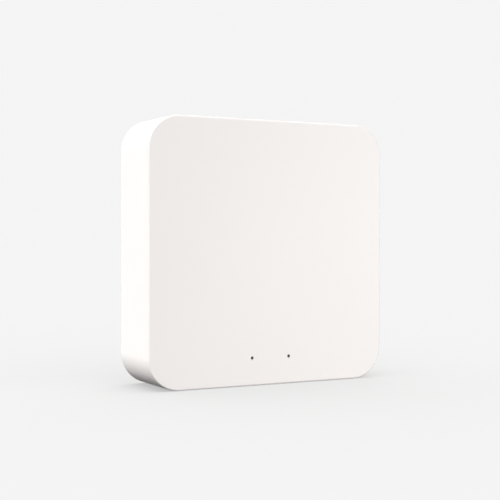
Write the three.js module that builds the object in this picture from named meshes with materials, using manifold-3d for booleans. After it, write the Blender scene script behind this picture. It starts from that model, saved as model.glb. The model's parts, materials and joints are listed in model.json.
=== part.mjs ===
// A square smart home hub: a white plastic case that holds one circuit board, with two pinhole status lights
// low on its face, and a network jack, a power socket and a reset button on its upper edge.
//
// Millimetres. The hub is modelled lying face up: x to the right, y up the face towards the sockets, and z
// from the soles of its feet to its face. The last lines stand it on its lower edge, with +Z up and its face
// towards -Y. Angles are in radians.

import * as THREE from "three";
import { mergeVertices } from "three/addons/utils/BufferGeometryUtils.js";
import Module from "manifold-3d";

const wasm = await Module();
wasm.setup();

// ---------------------------------------------------------------- driving dimensions

const GAP = 0.1; // between pieces that rest on each other or fit together
const OVER = 1; // how far a cutter runs past what it cuts, and a rib into the wall it grows from

// Case
const CASE_SIDE = 90;
const CASE_DEPTH = 24; // face to rear rim
const CORNER_R = 11;
const EDGE_R = 0.6; // rounding between the face and the sides
const WALL = 2;
const FACE_T = 2.2;
const MID = CASE_SIDE / 2;

// Rear cover
const FOOT_PROUD = 1; // how far the feet stand out past the rim
const COVER_RECESS = 0.5; // rim to the cover's outer face
const COVER_T = 2;
const COVER_GAP = 0.25; // cover to case wall, all round
const LIP_T = 1.2;
const LIP_H = 3;
const RIB_T = 1;
const RIB_REACH = 1.1;
const SIDE_RIBS = [23, 45, 67]; // up both sides
const LOWER_RIBS = [-22, 0, 22];
const UPPER_RIBS = [-31, 2.6, 29];

// Board
const BOARD_T = 1.6;
const BOARD_W = 80;
const BOARD_LOW = 5;
const BOARD_TOP = 86;
const BOARD_OFF_COVER = 3;
const SOLDER = 0.05; // what a component stands off the board
const POST_R = 2.5;
const POST_HOLE = 6;

// Levels along z, from the soles of the feet to the face
const DEPTH = CASE_DEPTH + FOOT_PROUD;
const Z_RIM = FOOT_PROUD;
const Z_COVER = Z_RIM + COVER_RECESS;
const Z_COVER_IN = Z_COVER + COVER_T;
const Z_LIP = Z_COVER_IN + LIP_H;
const Z_BOARD = Z_COVER_IN + BOARD_OFF_COVER;
const Z_PARTS = Z_BOARD + BOARD_T + SOLDER; // where components sit
const Z_FACE_IN = DEPTH - FACE_T;

// Fastening: the case screws, and the feet over them, are at the centres of the corner arcs
const CORNERS = [
  [-1, -1],
  [1, -1],
  [-1, 1],
  [1, 1],
];
const SCREW_OFFSET = MID - CORNER_R;
const BOSS_R = 3.25;
const CUP_R = 4.5;
const CUP_H = 3.4; // how far the screw cups stand in from the cover
const CUP_FLOOR = 2;
const CASE_SCREW = { headR: 2.6, headH: 1.9, shankR: 1.25, shankL: 10 };
const BOARD_SCREW = { headR: 1.9, headH: 1.4, shankR: 0.85, shankL: 5 };
const BOARD_SCREW_X = 35.5;
const BOARD_SCREW_Y = 21.5; // either side of the middle

// Feet
const FOOT_R = 5;
const FOOT_SEAT = 0.8; // depth of the recess that each foot is stuck in
const FOOT_EDGE = 0.5;

// Status lights
const LIGHT_X = 7.1; // either side of the middle
const LIGHT_Y = 9.4;
const PINHOLE_R = 0.55;
const LED = { base: [3, 1.6, 0.6], lens: [2.1, 1.4, 0.6] };
const GUIDE_R = 1.5;
const GUIDE_TIP_R = 0.46;
const GUIDE_SUNK = 0.25; // tip to face
const SHADE_IN = 1.65;
const SHADE_OUT = 2.6;
const HOLDER_T = 0.95;
const HOLDER_H = 3;

// Network jack
const JACK_X = 16;
const JACK_W = 15.9;
const JACK_H = 13.4; // off the board
const JACK_L = 18;
const JACK_SUNK = 0.6; // mouth to case edge
const JACK_SKIN = 0.35;
const JACK_CLEAR = 0.3; // jack to case, all round
const INSERT_SUNK = 0.3; // insert's front to mouth
const PLUG_W = 11.9;
const PLUG_H = 6.9;
const PLUG_DEEP = 14;
const PLUG_LOW = 3.9; // off the board
const LATCH_W = 6.3;
const LATCH_H = 2.4;
const CONTACTS = 8;
const CONTACT_PITCH = 1.016;
const CONTACT_T = 0.42;
const CONTACT_ROOT = 1.4; // how far a contact is set in the hollow's end wall
const SLOT_H = 1; // depth of a contact's slot

// Power socket
const USB_X = -8;
const USB_W = 7.5;
const USB_H = 2.7;
const USB_L = 5.8;
const USB_SKIN = 0.3;
const USB_SHOULDER = 1.1; // height of the section's cut corners
const USB_CUT = 0.9; // width of those corners
const USB_SUNK = 1.3;
const USB_CLEAR = 0.3;
const USB_WELL = { w: 11.8, h: 7.6, r: 1.6, deep: 1 };
const USB_TONGUE = { w: 4.6, t: 0.6, off: 0.1, short: 0.9, root: 1.6 };

// Reset button
const RESET_X = -24;
const RESET_Z = Z_PARTS + 3.2;
const RESET_R = 2.4;
const RESET_CLEAR = 0.2;
const RESET_FLANGE_R = 3.3;
const RESET_FLANGE_H = 0.8;
const RESET_STEM_R = 1.2;
const RESET_SUNK = 0.1;
const RESET_EDGE = 0.3;
const RESET_DISH = 0.25;
const SWITCH_W = 6.4;
const SWITCH_H = 5.6; // off the board
const SWITCH_L = 3.6;
const SWITCH_TOP = 83.6;
const PLUNGER_R = 1.4;
const PLUNGER_OUT = 1.8;
const PLUNGER_IN = 1.4;
const PLUNGER_TRAVEL_ROOM = 0.8;

// Ventilation slots and label on the rear cover
const VENTS = 11;
const VENT_PITCH = 4.4;
const VENT_W = 1.8;
const VENT_R = 0.88; // just under half the width
const VENT_L = 12;
const VENT_OFFSET = 26; // middle of the cover to the middle of each row
const LABEL_W = 52;
const LABEL_H = 32;
const LABEL_R = 1.5;
const LABEL_SEAT = 0.25;
const LABEL_T = 0.18;
const LABEL_MARGIN = 0.3;

// Chips on the board: width, height and thickness, and place
const CHIPS = {
  processor_chip: { size: [14, 14, 1.5], at: [3, 46] },
  memory_chip: { size: [10.2, 18.4, 1.2], at: [3, 26] },
  flash_chip: { size: [5.3, 5.3, 1.8], at: [17, 24] },
  lan_transformer: { size: [12.8, 9.4, 5.6], at: [16, 61] },
  power_chip: { size: [5, 4, 1.6], at: [-20, 70] },
};
const CHIP_DRAFT = 0.25;
const CAPACITORS = [
  [-19, 62],
  [-10, 61],
];
const CAPACITOR = { foot: 6.6, footR: 0.6, footH: 0.9, r: 3.15, h: 5.7, edge: 0.35 };
const INDUCTOR = { side: 6.8, r: 0.8, h: 3, edge: 0.25, at: [-10, 70] };
const CRYSTAL = { w: 12, h: 4.8, r: 1.2, rim: 0.4, rimH: 0.5, high: 3.6, at: [24, 35] };

// Radio
const RADIO = { w: 16, h: 25, t: 0.9, r: 0.4, at: [-23, 44] };
const RADIO_CAN = { w: 13.4, h: 15.4, r: 0.5, high: 2, edge: 0.25, at: [-23, 40.5] };
const ANTENNA = { x: -37.6, y: 44, l: 24, w: 3.2, t: 0.4, off: 3.4, fold: 2.4 };
const ANTENNA_LEGS = [33.4, 38.4];
const ANTENNA_LEG_W = 1.4;

// ---------------------------------------------------------------- solids

// A closed geometry as a solid that can be joined and cut.
function solid(geometry) {
  const bare = geometry.clone();
  bare.deleteAttribute("normal");
  bare.deleteAttribute("uv");
  const merged = mergeVertices(bare);
  const mesh = new wasm.Mesh({
    numProp: 3,
    vertProperties: new Float32Array(merged.attributes.position.array),
    triVerts: new Uint32Array(merged.index.array),
  });
  return new wasm.Manifold(mesh);
}

function join(first, ...others) {
  return others.reduce((sum, other) => sum.add(other), first);
}

function cut(first, ...others) {
  return others.reduce((rest, other) => rest.subtract(other), first);
}

// A box on the plane z = low, centred on x, y.
function block(width, height, depth, x, y, low) {
  const g = new THREE.BoxGeometry(width, height, depth);
  return solid(g.translate(x, y, low + depth / 2));
}

// A round bar along z, from z = low.
function rod(radius, length, x, y, low, sides = 20) {
  const g = new THREE.CylinderGeometry(radius, radius, length, sides);
  return solid(g.rotateX(Math.PI / 2).translate(x, y, low + length / 2));
}

// A round bar along y, from y = low.
function barUp(radius, length, x, low, z, sides = 24) {
  const g = new THREE.CylinderGeometry(radius, radius, length, sides);
  return solid(g.translate(x, low + length / 2, z));
}

// A turned piece about y, from [radius, y] pairs that start and end on the axis.
function lathe(profile, sides) {
  const points = profile.map(([radius, along]) => new THREE.Vector2(radius, along));
  return new THREE.LatheGeometry(points, sides);
}

// The same about z, from [radius, z] pairs.
function turned(profile, x, y, sides = 20) {
  return solid(lathe(profile, sides).rotateX(Math.PI / 2).translate(x, y, 0));
}

// The outline of a rounded rectangle about the origin, counterclockwise.
function roundedOutline(width, height, radius, steps) {
  const points = [];
  for (let corner = 0; corner < 4; corner++) {
    const right = corner === 0 || corner === 3 ? 1 : -1;
    const up = corner < 2 ? 1 : -1;
    for (let i = 0; i <= steps; i++) {
      const angle = ((corner + i / steps) * Math.PI) / 2;
      points.push([
        right * (width / 2 - radius) + radius * Math.cos(angle),
        up * (height / 2 - radius) + radius * Math.sin(angle),
      ]);
    }
  }
  return points;
}

// A solid through rounded rectangles at rising levels: [z, width, height, radius], all centred on x, y.
function lofted(levels, x, y, steps) {
  const rings = levels.map(([z, width, height, radius]) =>
    roundedOutline(width, height, radius, steps).map(([px, py]) => [px + x, py + y, z]),
  );
  const count = rings[0].length;
  const last = rings.length - 1;
  const index = [];
  for (let k = 0; k < last; k++) {
    for (let i = 0; i < count; i++) {
      const a = k * count + i;
      const b = k * count + ((i + 1) % count);
      index.push(a, b, b + count, a, b + count, a + count);
    }
  }
  for (let i = 1; i < count - 1; i++) {
    index.push(0, i + 1, i);
    index.push(last * count, last * count + i, last * count + i + 1);
  }
  const g = new THREE.BufferGeometry();
  g.setAttribute("position", new THREE.Float32BufferAttribute(rings.flat(2), 3));
  g.setIndex(index);
  return solid(g);
}

// A rounded rectangle of one thickness, from z = low.
function slab(width, height, radius, depth, x, y, low, steps = 3) {
  const section = [width, height, radius];
  return lofted([[low, ...section], [low + depth, ...section]], x, y, steps);
}

// A stack whose upper edge is rounded off by a short slope: a shield can, or a moulded block.
function capped(width, height, radius, high, edge, x, y, low, steps = 3) {
  const levels = [
    [low, width, height, radius],
    [low + high - edge, width, height, radius],
    [low + high, width - 2 * edge, height - 2 * edge, radius],
  ];
  return lofted(levels, x, y, steps);
}

// A prism with its section in x, z, from y = low.
function prismUp(outline, length, x, low, z) {
  const shape = new THREE.Shape(outline.map(([px, pz]) => new THREE.Vector2(px, pz)));
  const g = new THREE.ExtrudeGeometry(shape, { depth: length, bevelEnabled: false });
  // Extruding runs along z. The turn makes it run down y, so the piece is moved up by its length.
  return solid(g.rotateX(Math.PI / 2).translate(x, low + length, z));
}

// ---------------------------------------------------------------- materials

function finish(color, roughness, metalness = 0) {
  return new THREE.MeshStandardMaterial({ color, roughness, metalness });
}

const whiteCase = finish(0xf3f0ed, 0.55);
const whiteButton = finish(0xe9e6e3, 0.5);
const smokedGuide = finish(0x2a2b2d, 0.15);
const blackFoam = finish(0x161616, 0.9);
const greenBoard = finish(0x1d5a38, 0.45);
const steel = finish(0xb9bcc0, 0.3, 1);
const gold = finish(0xd8b15a, 0.25, 1);
const blackPlastic = finish(0x1c1c1e, 0.5);
const chipPlastic = finish(0x26272a, 0.6);
const ferrite = finish(0x3b3c40, 0.7);
const aluminium = finish(0xc9ccd0, 0.35, 1);
const rubber = finish(0xc9c9c7, 0.85);
const labelFilm = finish(0xe3e4e5, 0.4);
const ledPlastic = finish(0xf4f1e4, 0.35);

// ---------------------------------------------------------------- case

// The rounded square of the case, drawn in by inset, at z.
function caseLevel(z, inset) {
  const side = CASE_SIDE - 2 * inset;
  return [z, side, side, CORNER_R - inset];
}

function caseShell() {
  const steps = 12;
  const edgeSteps = 3;
  const outside = [caseLevel(Z_RIM, 0)];
  for (let i = 0; i <= edgeSteps; i++) {
    const angle = ((i / edgeSteps) * Math.PI) / 2;
    const inset = EDGE_R * (1 - Math.cos(angle));
    outside.push(caseLevel(DEPTH - EDGE_R + EDGE_R * Math.sin(angle), inset));
  }
  const inside = [caseLevel(Z_RIM - OVER, WALL), caseLevel(Z_FACE_IN, WALL)];
  return cut(lofted(outside, 0, MID, steps), lofted(inside, 0, MID, steps));
}

// Short ribs on the case walls. The lip of the rear cover stops against their ends.
function caseRibs() {
  const low = Z_LIP + GAP;
  const tall = Z_FACE_IN - low + OVER;
  const long = RIB_REACH + OVER;
  const across = MID - WALL - RIB_REACH + long / 2;
  const sides = SIDE_RIBS.flatMap((y) => [
    block(long, RIB_T, tall, -across, y, low),
    block(long, RIB_T, tall, across, y, low),
  ]);
  const lower = LOWER_RIBS.map((x) => block(RIB_T, long, tall, x, MID - across, low));
  const upper = UPPER_RIBS.map((x) => block(RIB_T, long, tall, x, MID + across, low));
  return [...sides, ...lower, ...upper];
}

// Where the screw of a corner goes in, for offsets from the middle of the case.
function cornerPlace([sx, sy], offsetX, offsetY) {
  return [sx * offsetX, MID + sy * offsetY];
}

// A boss from z = low up to the face, with a blind hole for a screw.
function boss(radius, holeR, holeL, x, y, low) {
  const post = rod(radius, Z_FACE_IN - low + OVER, x, y, low);
  return cut(post, rod(holeR, holeL + OVER, x, y, low - OVER, 16));
}

function caseBosses() {
  const { shankR, shankL } = CASE_SCREW;
  return CORNERS.map((corner) => {
    const [x, y] = cornerPlace(corner, SCREW_OFFSET, SCREW_OFFSET);
    return boss(BOSS_R, shankR + GAP, shankL, x, y, Z_COVER_IN + CUP_H + GAP);
  });
}

function boardPosts() {
  return CORNERS.map((corner) => {
    const [x, y] = cornerPlace(corner, BOARD_SCREW_X, BOARD_SCREW_Y);
    return boss(POST_R, BOARD_SCREW.shankR + GAP, POST_HOLE, x, y, Z_BOARD + BOARD_T + GAP);
  });
}

// A ring inside the face that holds the sleeve of a light guide.
function shadeHolder(x) {
  const low = Z_FACE_IN - HOLDER_H;
  const holeR = SHADE_OUT + GAP;
  const ring = rod(holeR + HOLDER_T, HOLDER_H + OVER, x, LIGHT_Y, low);
  return cut(ring, rod(holeR, HOLDER_H + OVER, x, LIGHT_Y, low - OVER));
}

// A cutter through the upper wall, for a thing of this width and height that sits on the board.
function wallCutter(width, height, clear, x) {
  const low = CASE_SIDE - WALL - OVER;
  const through = WALL + 2 * OVER;
  return block(width + 2 * clear, through, height + 2 * clear, x, low + through / 2, Z_PARTS - clear);
}

// The shallow well around the power socket, as a cutter that comes in from above the upper wall.
function usbWell() {
  const { w, h, r, deep } = USB_WELL;
  return slab(w, h, r, deep + OVER, 0, 0, -OVER)
    .rotate([90, 0, 0])
    .translate([USB_X, CASE_SIDE, Z_PARTS + USB_H / 2]);
}

function frontCover() {
  const shell = join(
    caseShell(),
    ...caseRibs(),
    ...caseBosses(),
    ...boardPosts(),
    shadeHolder(-LIGHT_X),
    shadeHolder(LIGHT_X),
  );
  const pinholeL = FACE_T + 2 * OVER;
  return cut(
    shell,
    wallCutter(JACK_W, JACK_H, JACK_CLEAR, JACK_X),
    wallCutter(USB_W, USB_H, USB_CLEAR, USB_X),
    usbWell(),
    barUp(RESET_R + RESET_CLEAR, WALL + 2 * OVER, RESET_X, CASE_SIDE - WALL - OVER, RESET_Z),
    rod(PINHOLE_R, pinholeL, -LIGHT_X, LIGHT_Y, Z_FACE_IN - OVER),
    rod(PINHOLE_R, pinholeL, LIGHT_X, LIGHT_Y, Z_FACE_IN - OVER),
  );
}

// ---------------------------------------------------------------- rear cover

// The outline of the cover, drawn in by inset, at z.
function coverLevel(z, inset) {
  return caseLevel(z, WALL + COVER_GAP + inset);
}

function coverLip(steps) {
  const outside = [coverLevel(Z_COVER_IN - OVER, 0), coverLevel(Z_LIP, 0)];
  const inside = [coverLevel(Z_COVER_IN - 2 * OVER, LIP_T), coverLevel(Z_LIP + OVER, LIP_T)];
  return cut(lofted(outside, 0, MID, steps), lofted(inside, 0, MID, steps));
}

function ventCutters() {
  const cutters = [];
  for (const side of [-1, 1]) {
    for (let i = 0; i < VENTS; i++) {
      const x = (i - (VENTS - 1) / 2) * VENT_PITCH;
      const y = MID + side * VENT_OFFSET;
      cutters.push(slab(VENT_W, VENT_L, VENT_R, COVER_T + 2 * OVER, x, y, Z_COVER - OVER, 2));
    }
  }
  return cutters;
}

function rearCover() {
  const steps = 8;
  const cups = [];
  const cutters = ventCutters();
  const cupTop = Z_COVER_IN + CUP_H;
  for (const corner of CORNERS) {
    const [x, y] = cornerPlace(corner, SCREW_OFFSET, SCREW_OFFSET);
    cups.push(rod(CUP_R, CUP_H + OVER, x, y, Z_COVER_IN - OVER));
    cutters.push(rod(FOOT_R + 2 * GAP, FOOT_SEAT + OVER, x, y, Z_COVER - OVER, 24));
    cutters.push(rod(CASE_SCREW.headR + 3 * GAP, cupTop - CUP_FLOOR - Z_COVER, x, y, Z_COVER));
    cutters.push(rod(CASE_SCREW.shankR + 3 * GAP, CUP_FLOOR + 2 * OVER, x, y, cupTop - CUP_FLOOR - OVER, 16));
  }
  const plate = lofted([coverLevel(Z_COVER, 0), coverLevel(Z_COVER_IN, 0)], 0, MID, steps);
  const labelSeat = slab(LABEL_W, LABEL_H, LABEL_R, LABEL_SEAT + OVER, 0, MID, Z_COVER - OVER);
  return cut(join(plate, coverLip(steps), ...cups), labelSeat, ...cutters);
}

function label() {
  const shrink = 2 * LABEL_MARGIN;
  const low = Z_COVER + LABEL_SEAT - LABEL_T - SOLDER;
  return slab(LABEL_W - shrink, LABEL_H - shrink, LABEL_R - LABEL_MARGIN, LABEL_T, 0, MID, low);
}

function foot(x, y) {
  const top = Z_COVER + FOOT_SEAT - SOLDER;
  const profile = [
    [0, 0],
    [FOOT_R - FOOT_EDGE, 0],
    [FOOT_R - 0.3 * FOOT_EDGE, 0.3 * FOOT_EDGE],
    [FOOT_R, FOOT_EDGE],
    [FOOT_R, top],
    [0, top],
  ];
  return turned(profile, x, y, 24);
}

// A pan-head screw with a cross recess, which starts at z = low and points towards the face.
function screw({ headR, headH, shankR, shankL }, x, y, low) {
  const neck = low + headH;
  const profile = [
    [0, low],
    [headR * 0.6, low],
    [headR * 0.92, low + headH * 0.25],
    [headR, low + headH * 0.6],
    [headR, neck],
    [shankR, neck],
    [shankR, neck + shankL - shankR],
    [0, neck + shankL],
  ];
  const deep = headH / 2;
  const wide = headR / 3;
  const long = headR * 1.1;
  const recess = join(
    block(wide, long, deep + OVER, x, y, low - OVER),
    block(long, wide, deep + OVER, x, y, low - OVER),
  );
  return cut(turned(profile, x, y, 14), recess);
}

// ---------------------------------------------------------------- board and its components

function board() {
  const height = BOARD_TOP - BOARD_LOW;
  const plate = slab(BOARD_W, height, OVER, BOARD_T, 0, BOARD_LOW + height / 2, Z_BOARD);
  const through = BOARD_T + 2 * OVER;
  const cutters = [];
  for (const corner of CORNERS) {
    const [cupX, cupY] = cornerPlace(corner, SCREW_OFFSET, SCREW_OFFSET);
    const edgeX = Math.sign(cupX) * (BOARD_W / 2);
    const edgeY = cupY < MID ? BOARD_LOW : BOARD_TOP;
    const reach = CUP_R + 4 * GAP;
    const notchW = 2 * (Math.abs(cupX - edgeX) + reach);
    const notchH = 2 * (Math.abs(cupY - edgeY) + reach);
    cutters.push(block(notchW, notchH, through, edgeX, edgeY, Z_BOARD - OVER));
    const [x, y] = cornerPlace(corner, BOARD_SCREW_X, BOARD_SCREW_Y);
    cutters.push(rod(BOARD_SCREW.shankR + 2 * GAP, through, x, y, Z_BOARD - OVER, 14));
  }
  return cut(plate, ...cutters);
}

function chip({ size: [width, height, thick], at: [x, y] }) {
  const corner = 0.15;
  const levels = [
    [Z_PARTS, width - CHIP_DRAFT, height - CHIP_DRAFT, corner],
    [Z_PARTS + thick / 2, width, height, corner],
    [Z_PARTS + thick, width - CHIP_DRAFT, height - CHIP_DRAFT, corner],
  ];
  return lofted(levels, x, y, 1);
}

function capacitor([x, y]) {
  const { foot: side, footR, footH, r, h, edge } = CAPACITOR;
  const can = turned(
    [
      [0, Z_PARTS + footH / 2],
      [r, Z_PARTS + footH / 2],
      [r, Z_PARTS + h - edge],
      [r - edge, Z_PARTS + h],
      [0, Z_PARTS + h],
    ],
    x,
    y,
  );
  return join(slab(side, side, footR, footH, x, y, Z_PARTS), can);
}

function inductor() {
  const { side, r, h, edge, at } = INDUCTOR;
  return capped(side, side, r, h, edge, ...at, Z_PARTS);
}

function crystal() {
  const { w, h, r, rim, rimH, high, at } = CRYSTAL;
  const rimPlate = slab(w, h, r, rimH, ...at, Z_PARTS, 4);
  return join(rimPlate, slab(w - 2 * rim, h - 2 * rim, r, high, ...at, Z_PARTS, 4));
}

function statusLed(x) {
  const [baseW, baseH, baseT] = LED.base;
  const [lensW, lensH, lensT] = LED.lens;
  const base = block(baseW, baseH, baseT, x, LIGHT_Y, Z_PARTS);
  return join(base, block(lensW, lensH, baseT + lensT, x, LIGHT_Y, Z_PARTS));
}

// A rod from just over the light to a shoulder behind the face, with a thin tip in the pinhole.
function lightGuide(x) {
  const low = Z_PARTS + LED.base[2] + LED.lens[2] + 2 * GAP;
  const shoulder = Z_FACE_IN - 2 * GAP;
  const slope = 0.6;
  const profile = [
    [0, low],
    [GUIDE_R, low],
    [GUIDE_R, shoulder - slope],
    [GUIDE_TIP_R, shoulder],
    [GUIDE_TIP_R, DEPTH - GUIDE_SUNK],
    [0, DEPTH - GUIDE_SUNK],
  ];
  return turned(profile, x, LIGHT_Y, 16);
}

function lightShade(x) {
  const low = Z_PARTS + LED.base[2] + LED.lens[2] + GAP;
  const tall = Z_FACE_IN - 3 * GAP - low;
  const tube = rod(SHADE_OUT, tall, x, LIGHT_Y, low);
  return cut(tube, rod(SHADE_IN, tall + 2 * OVER, x, LIGHT_Y, low - OVER));
}

function radioBoard() {
  const { w, h, t, r, at } = RADIO;
  return slab(w, h, r, t, ...at, Z_PARTS);
}

function radioShield() {
  const { w, h, r, high, edge, at } = RADIO_CAN;
  return capped(w, h, r, high, edge, ...at, Z_PARTS + RADIO.t + SOLDER);
}

// A stamped strip on two legs, which stands off the board with its far end turned in.
function antenna() {
  const { x, y, l, w, t, off, fold } = ANTENNA;
  const strip = block(t, l, w, x, y, Z_PARTS + off);
  const legs = ANTENNA_LEGS.map((legY) => block(t, ANTENNA_LEG_W, off + GAP, x, legY, Z_PARTS));
  const foldedEnd = block(fold, t, w, x + (fold - t) / 2, y + (l - t) / 2, Z_PARTS + off);
  return join(strip, ...legs, foldedEnd);
}

// ---------------------------------------------------------------- network jack

const JACK_MOUTH = CASE_SIDE - JACK_SUNK;
const JACK_END = JACK_MOUTH - JACK_L;
const PLUG_END = JACK_MOUTH - PLUG_DEEP;
const PLUG_ROOF = Z_PARTS + PLUG_LOW + PLUG_H;

// A can with its mouth and its board side open.
function jackShield() {
  const outside = block(JACK_W, JACK_L, JACK_H, JACK_X, JACK_END + JACK_L / 2, Z_PARTS);
  const hollowL = JACK_L - JACK_SKIN + OVER;
  const hollowY = JACK_END + JACK_SKIN + hollowL / 2;
  const hollowH = JACK_H - JACK_SKIN + OVER;
  return cut(outside, block(JACK_W - 2 * JACK_SKIN, hollowL, hollowH, JACK_X, hollowY, Z_PARTS - OVER));
}

function contactX(i) {
  return JACK_X + (i - (CONTACTS - 1) / 2) * CONTACT_PITCH;
}

// The plastic body of the jack: the plug's hollow, the groove of its latch, and a comb of contact slots.
function jackInsert() {
  const inset = JACK_SKIN + GAP;
  const length = JACK_L - inset - INSERT_SUNK;
  const bodyY = JACK_END + inset + length / 2;
  const body = block(JACK_W - 2 * inset, length, JACK_H - inset, JACK_X, bodyY, Z_PARTS);
  const reach = PLUG_DEEP + OVER;
  const middle = PLUG_END + reach / 2;
  const plug = block(PLUG_W, reach, PLUG_H, JACK_X, middle, Z_PARTS + PLUG_LOW);
  const latch = block(LATCH_W, reach, LATCH_H + OVER, JACK_X, middle, Z_PARTS + PLUG_LOW - LATCH_H);
  const slotLow = PLUG_END - CONTACT_ROOT - GAP;
  const slotL = PLUG_DEEP - OVER + CONTACT_ROOT;
  const slots = Array.from({ length: CONTACTS }, (_, i) =>
    block(CONTACT_T + 2 * GAP, slotL, SLOT_H + OVER, contactX(i), slotLow + slotL / 2, PLUG_ROOF - OVER),
  );
  return cut(body, plug, latch, ...slots);
}

// A spring contact: it comes out of the end wall along its slot, and bends back down into the hollow.
function contact(i) {
  const inSlot = PLUG_ROOF + SLOT_H / 2;
  const route = [
    [-CONTACT_ROOT, 0],
    [9.6, 0],
    [11, -0.35],
    [10.4, -1.2],
    [5.4, -2.3],
    [3.2, -2.6],
  ];
  const x = contactX(i);
  const points = route.map(([along, drop]) => new THREE.Vector3(x, PLUG_END + along, inSlot + drop));
  const path = new THREE.CatmullRomCurve3(points, false, "centripetal");
  const half = CONTACT_T / 2;
  const section = new THREE.Shape();
  section.moveTo(-half, -half);
  section.lineTo(half, -half);
  section.lineTo(half, half);
  section.lineTo(-half, half);
  return solid(new THREE.ExtrudeGeometry(section, { steps: 14, extrudePath: path }));
}

// ---------------------------------------------------------------- power socket

const USB_MOUTH = CASE_SIDE - USB_SUNK;
const USB_END = USB_MOUTH - USB_L;

// The socket's section, drawn in by inset: a rectangle with its two corners next to the board cut off.
function usbSection(inset) {
  const half = USB_W / 2 - inset;
  const shoulder = USB_SHOULDER + inset / 2;
  const narrow = half - USB_CUT;
  return [
    [-half, USB_H - inset],
    [-half, shoulder],
    [-narrow, inset],
    [narrow, inset],
    [half, shoulder],
    [half, USB_H - inset],
  ];
}

function usbShell() {
  const outside = prismUp(usbSection(0), USB_L, USB_X, USB_END, Z_PARTS);
  const inside = prismUp(usbSection(USB_SKIN), USB_L + 2 * OVER, USB_X, USB_END - OVER, Z_PARTS);
  return cut(outside, inside);
}

function usbTongue() {
  const { w, t, off, short, root } = USB_TONGUE;
  const length = USB_L - short;
  const back = prismUp(usbSection(USB_SKIN + SOLDER), root, USB_X, USB_END + GAP, Z_PARTS);
  const tongue = block(w, length, t, USB_X, USB_END + GAP + length / 2, Z_PARTS + USB_H / 2 + off);
  return join(back, tongue);
}

// ---------------------------------------------------------------- reset button

const STEM_END = SWITCH_TOP + PLUNGER_OUT + SOLDER;

// A dished cap in the upper wall, a flange that stops it behind the wall, and a stem on the switch.
function resetButton() {
  const flangeTop = CASE_SIDE - WALL - GAP;
  const flangeLow = flangeTop - RESET_FLANGE_H;
  const top = CASE_SIDE - RESET_SUNK;
  const dishR = RESET_R - RESET_EDGE;
  const profile = [
    [0, STEM_END],
    [RESET_STEM_R, STEM_END],
    [RESET_STEM_R, flangeLow],
    [RESET_FLANGE_R, flangeLow],
    [RESET_FLANGE_R, flangeTop],
    [RESET_R, flangeTop],
    [RESET_R, top - RESET_EDGE],
    [dishR, top],
    [dishR / 2, top - RESET_DISH * 0.75],
    [0, top - RESET_DISH],
  ];
  return solid(lathe(profile, 24).translate(RESET_X, 0, RESET_Z));
}

function switchPlunger() {
  return barUp(PLUNGER_R, PLUNGER_OUT + PLUNGER_IN, RESET_X, SWITCH_TOP - PLUNGER_IN, RESET_Z, 16);
}

function switchBody() {
  const body = block(SWITCH_W, SWITCH_L, SWITCH_H, RESET_X, SWITCH_TOP - SWITCH_L / 2, Z_PARTS);
  const boreLow = SWITCH_TOP - PLUNGER_IN - PLUNGER_TRAVEL_ROOM;
  return cut(body, barUp(PLUNGER_R + GAP, SWITCH_TOP - boreLow + OVER, RESET_X, boreLow, RESET_Z, 16));
}

// ---------------------------------------------------------------- assembly

const hub = new THREE.Group();

function add(name, body, material) {
  const { vertProperties, triVerts } = body.getMesh();
  const g = new THREE.BufferGeometry();
  g.setAttribute("position", new THREE.BufferAttribute(vertProperties, 3));
  g.setIndex(new THREE.BufferAttribute(triVerts, 1));
  g.computeVertexNormals();
  const mesh = new THREE.Mesh(g, material);
  mesh.name = name;
  hub.add(mesh);
}

add("front_cover", frontCover(), whiteCase);
add("rear_cover", rearCover(), whiteCase);
add("rating_label", label(), labelFilm);
add("main_board", board(), greenBoard);

CORNERS.forEach((corner, i) => {
  const [x, y] = cornerPlace(corner, SCREW_OFFSET, SCREW_OFFSET);
  const caseScrewLow = Z_COVER_IN + CUP_H - CUP_FLOOR - SOLDER - CASE_SCREW.headH;
  add(`foot_${i + 1}`, foot(x, y), rubber);
  add(`case_screw_${i + 1}`, screw(CASE_SCREW, x, y, caseScrewLow), steel);
  const [boardX, boardY] = cornerPlace(corner, BOARD_SCREW_X, BOARD_SCREW_Y);
  const boardScrewLow = Z_BOARD - SOLDER - BOARD_SCREW.headH;
  add(`board_screw_${i + 1}`, screw(BOARD_SCREW, boardX, boardY, boardScrewLow), steel);
});

for (const [side, x] of Object.entries({ left: -LIGHT_X, right: LIGHT_X })) {
  add(`status_led_${side}`, statusLed(x), ledPlastic);
  add(`light_guide_${side}`, lightGuide(x), smokedGuide);
  add(`light_shade_${side}`, lightShade(x), blackFoam);
}

add("lan_jack_shield", jackShield(), steel);
add("lan_jack_insert", jackInsert(), blackPlastic);
for (let i = 0; i < CONTACTS; i++) {
  add(`lan_contact_${i + 1}`, contact(i), gold);
}
add("usb_shell", usbShell(), steel);
add("usb_tongue", usbTongue(), blackPlastic);

add("reset_button", resetButton(), whiteButton);
add("reset_switch_plunger", switchPlunger(), blackPlastic);
add("reset_switch_body", switchBody(), blackPlastic);

for (const [name, place] of Object.entries(CHIPS)) {
  add(name, chip(place), chipPlastic);
}
CAPACITORS.forEach((place, i) => add(`power_capacitor_${i + 1}`, capacitor(place), aluminium));
add("power_inductor", inductor(), ferrite);
add("crystal", crystal(), steel);
add("radio_board", radioBoard(), greenBoard);
add("radio_shield", radioShield(), steel);
add("antenna", antenna(), gold);

// Stand the hub on its lower edge, with its face towards -Y and its depth centred on the origin.
hub.rotation.x = Math.PI / 2;
hub.position.y = DEPTH / 2;

export default hub;
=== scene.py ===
"""The looks of a square white smart home hub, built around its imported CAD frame.

Metres, +Z up. The hub stands on its lower edge, its face looks along -Y, its rear cover along +Y, and its
sockets and reset button are in its upper edge. Most fine pieces stand for a CAD node, and a few small ones,
such as the leads of the chips, ride along with them.
"""

import json
import math

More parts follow.
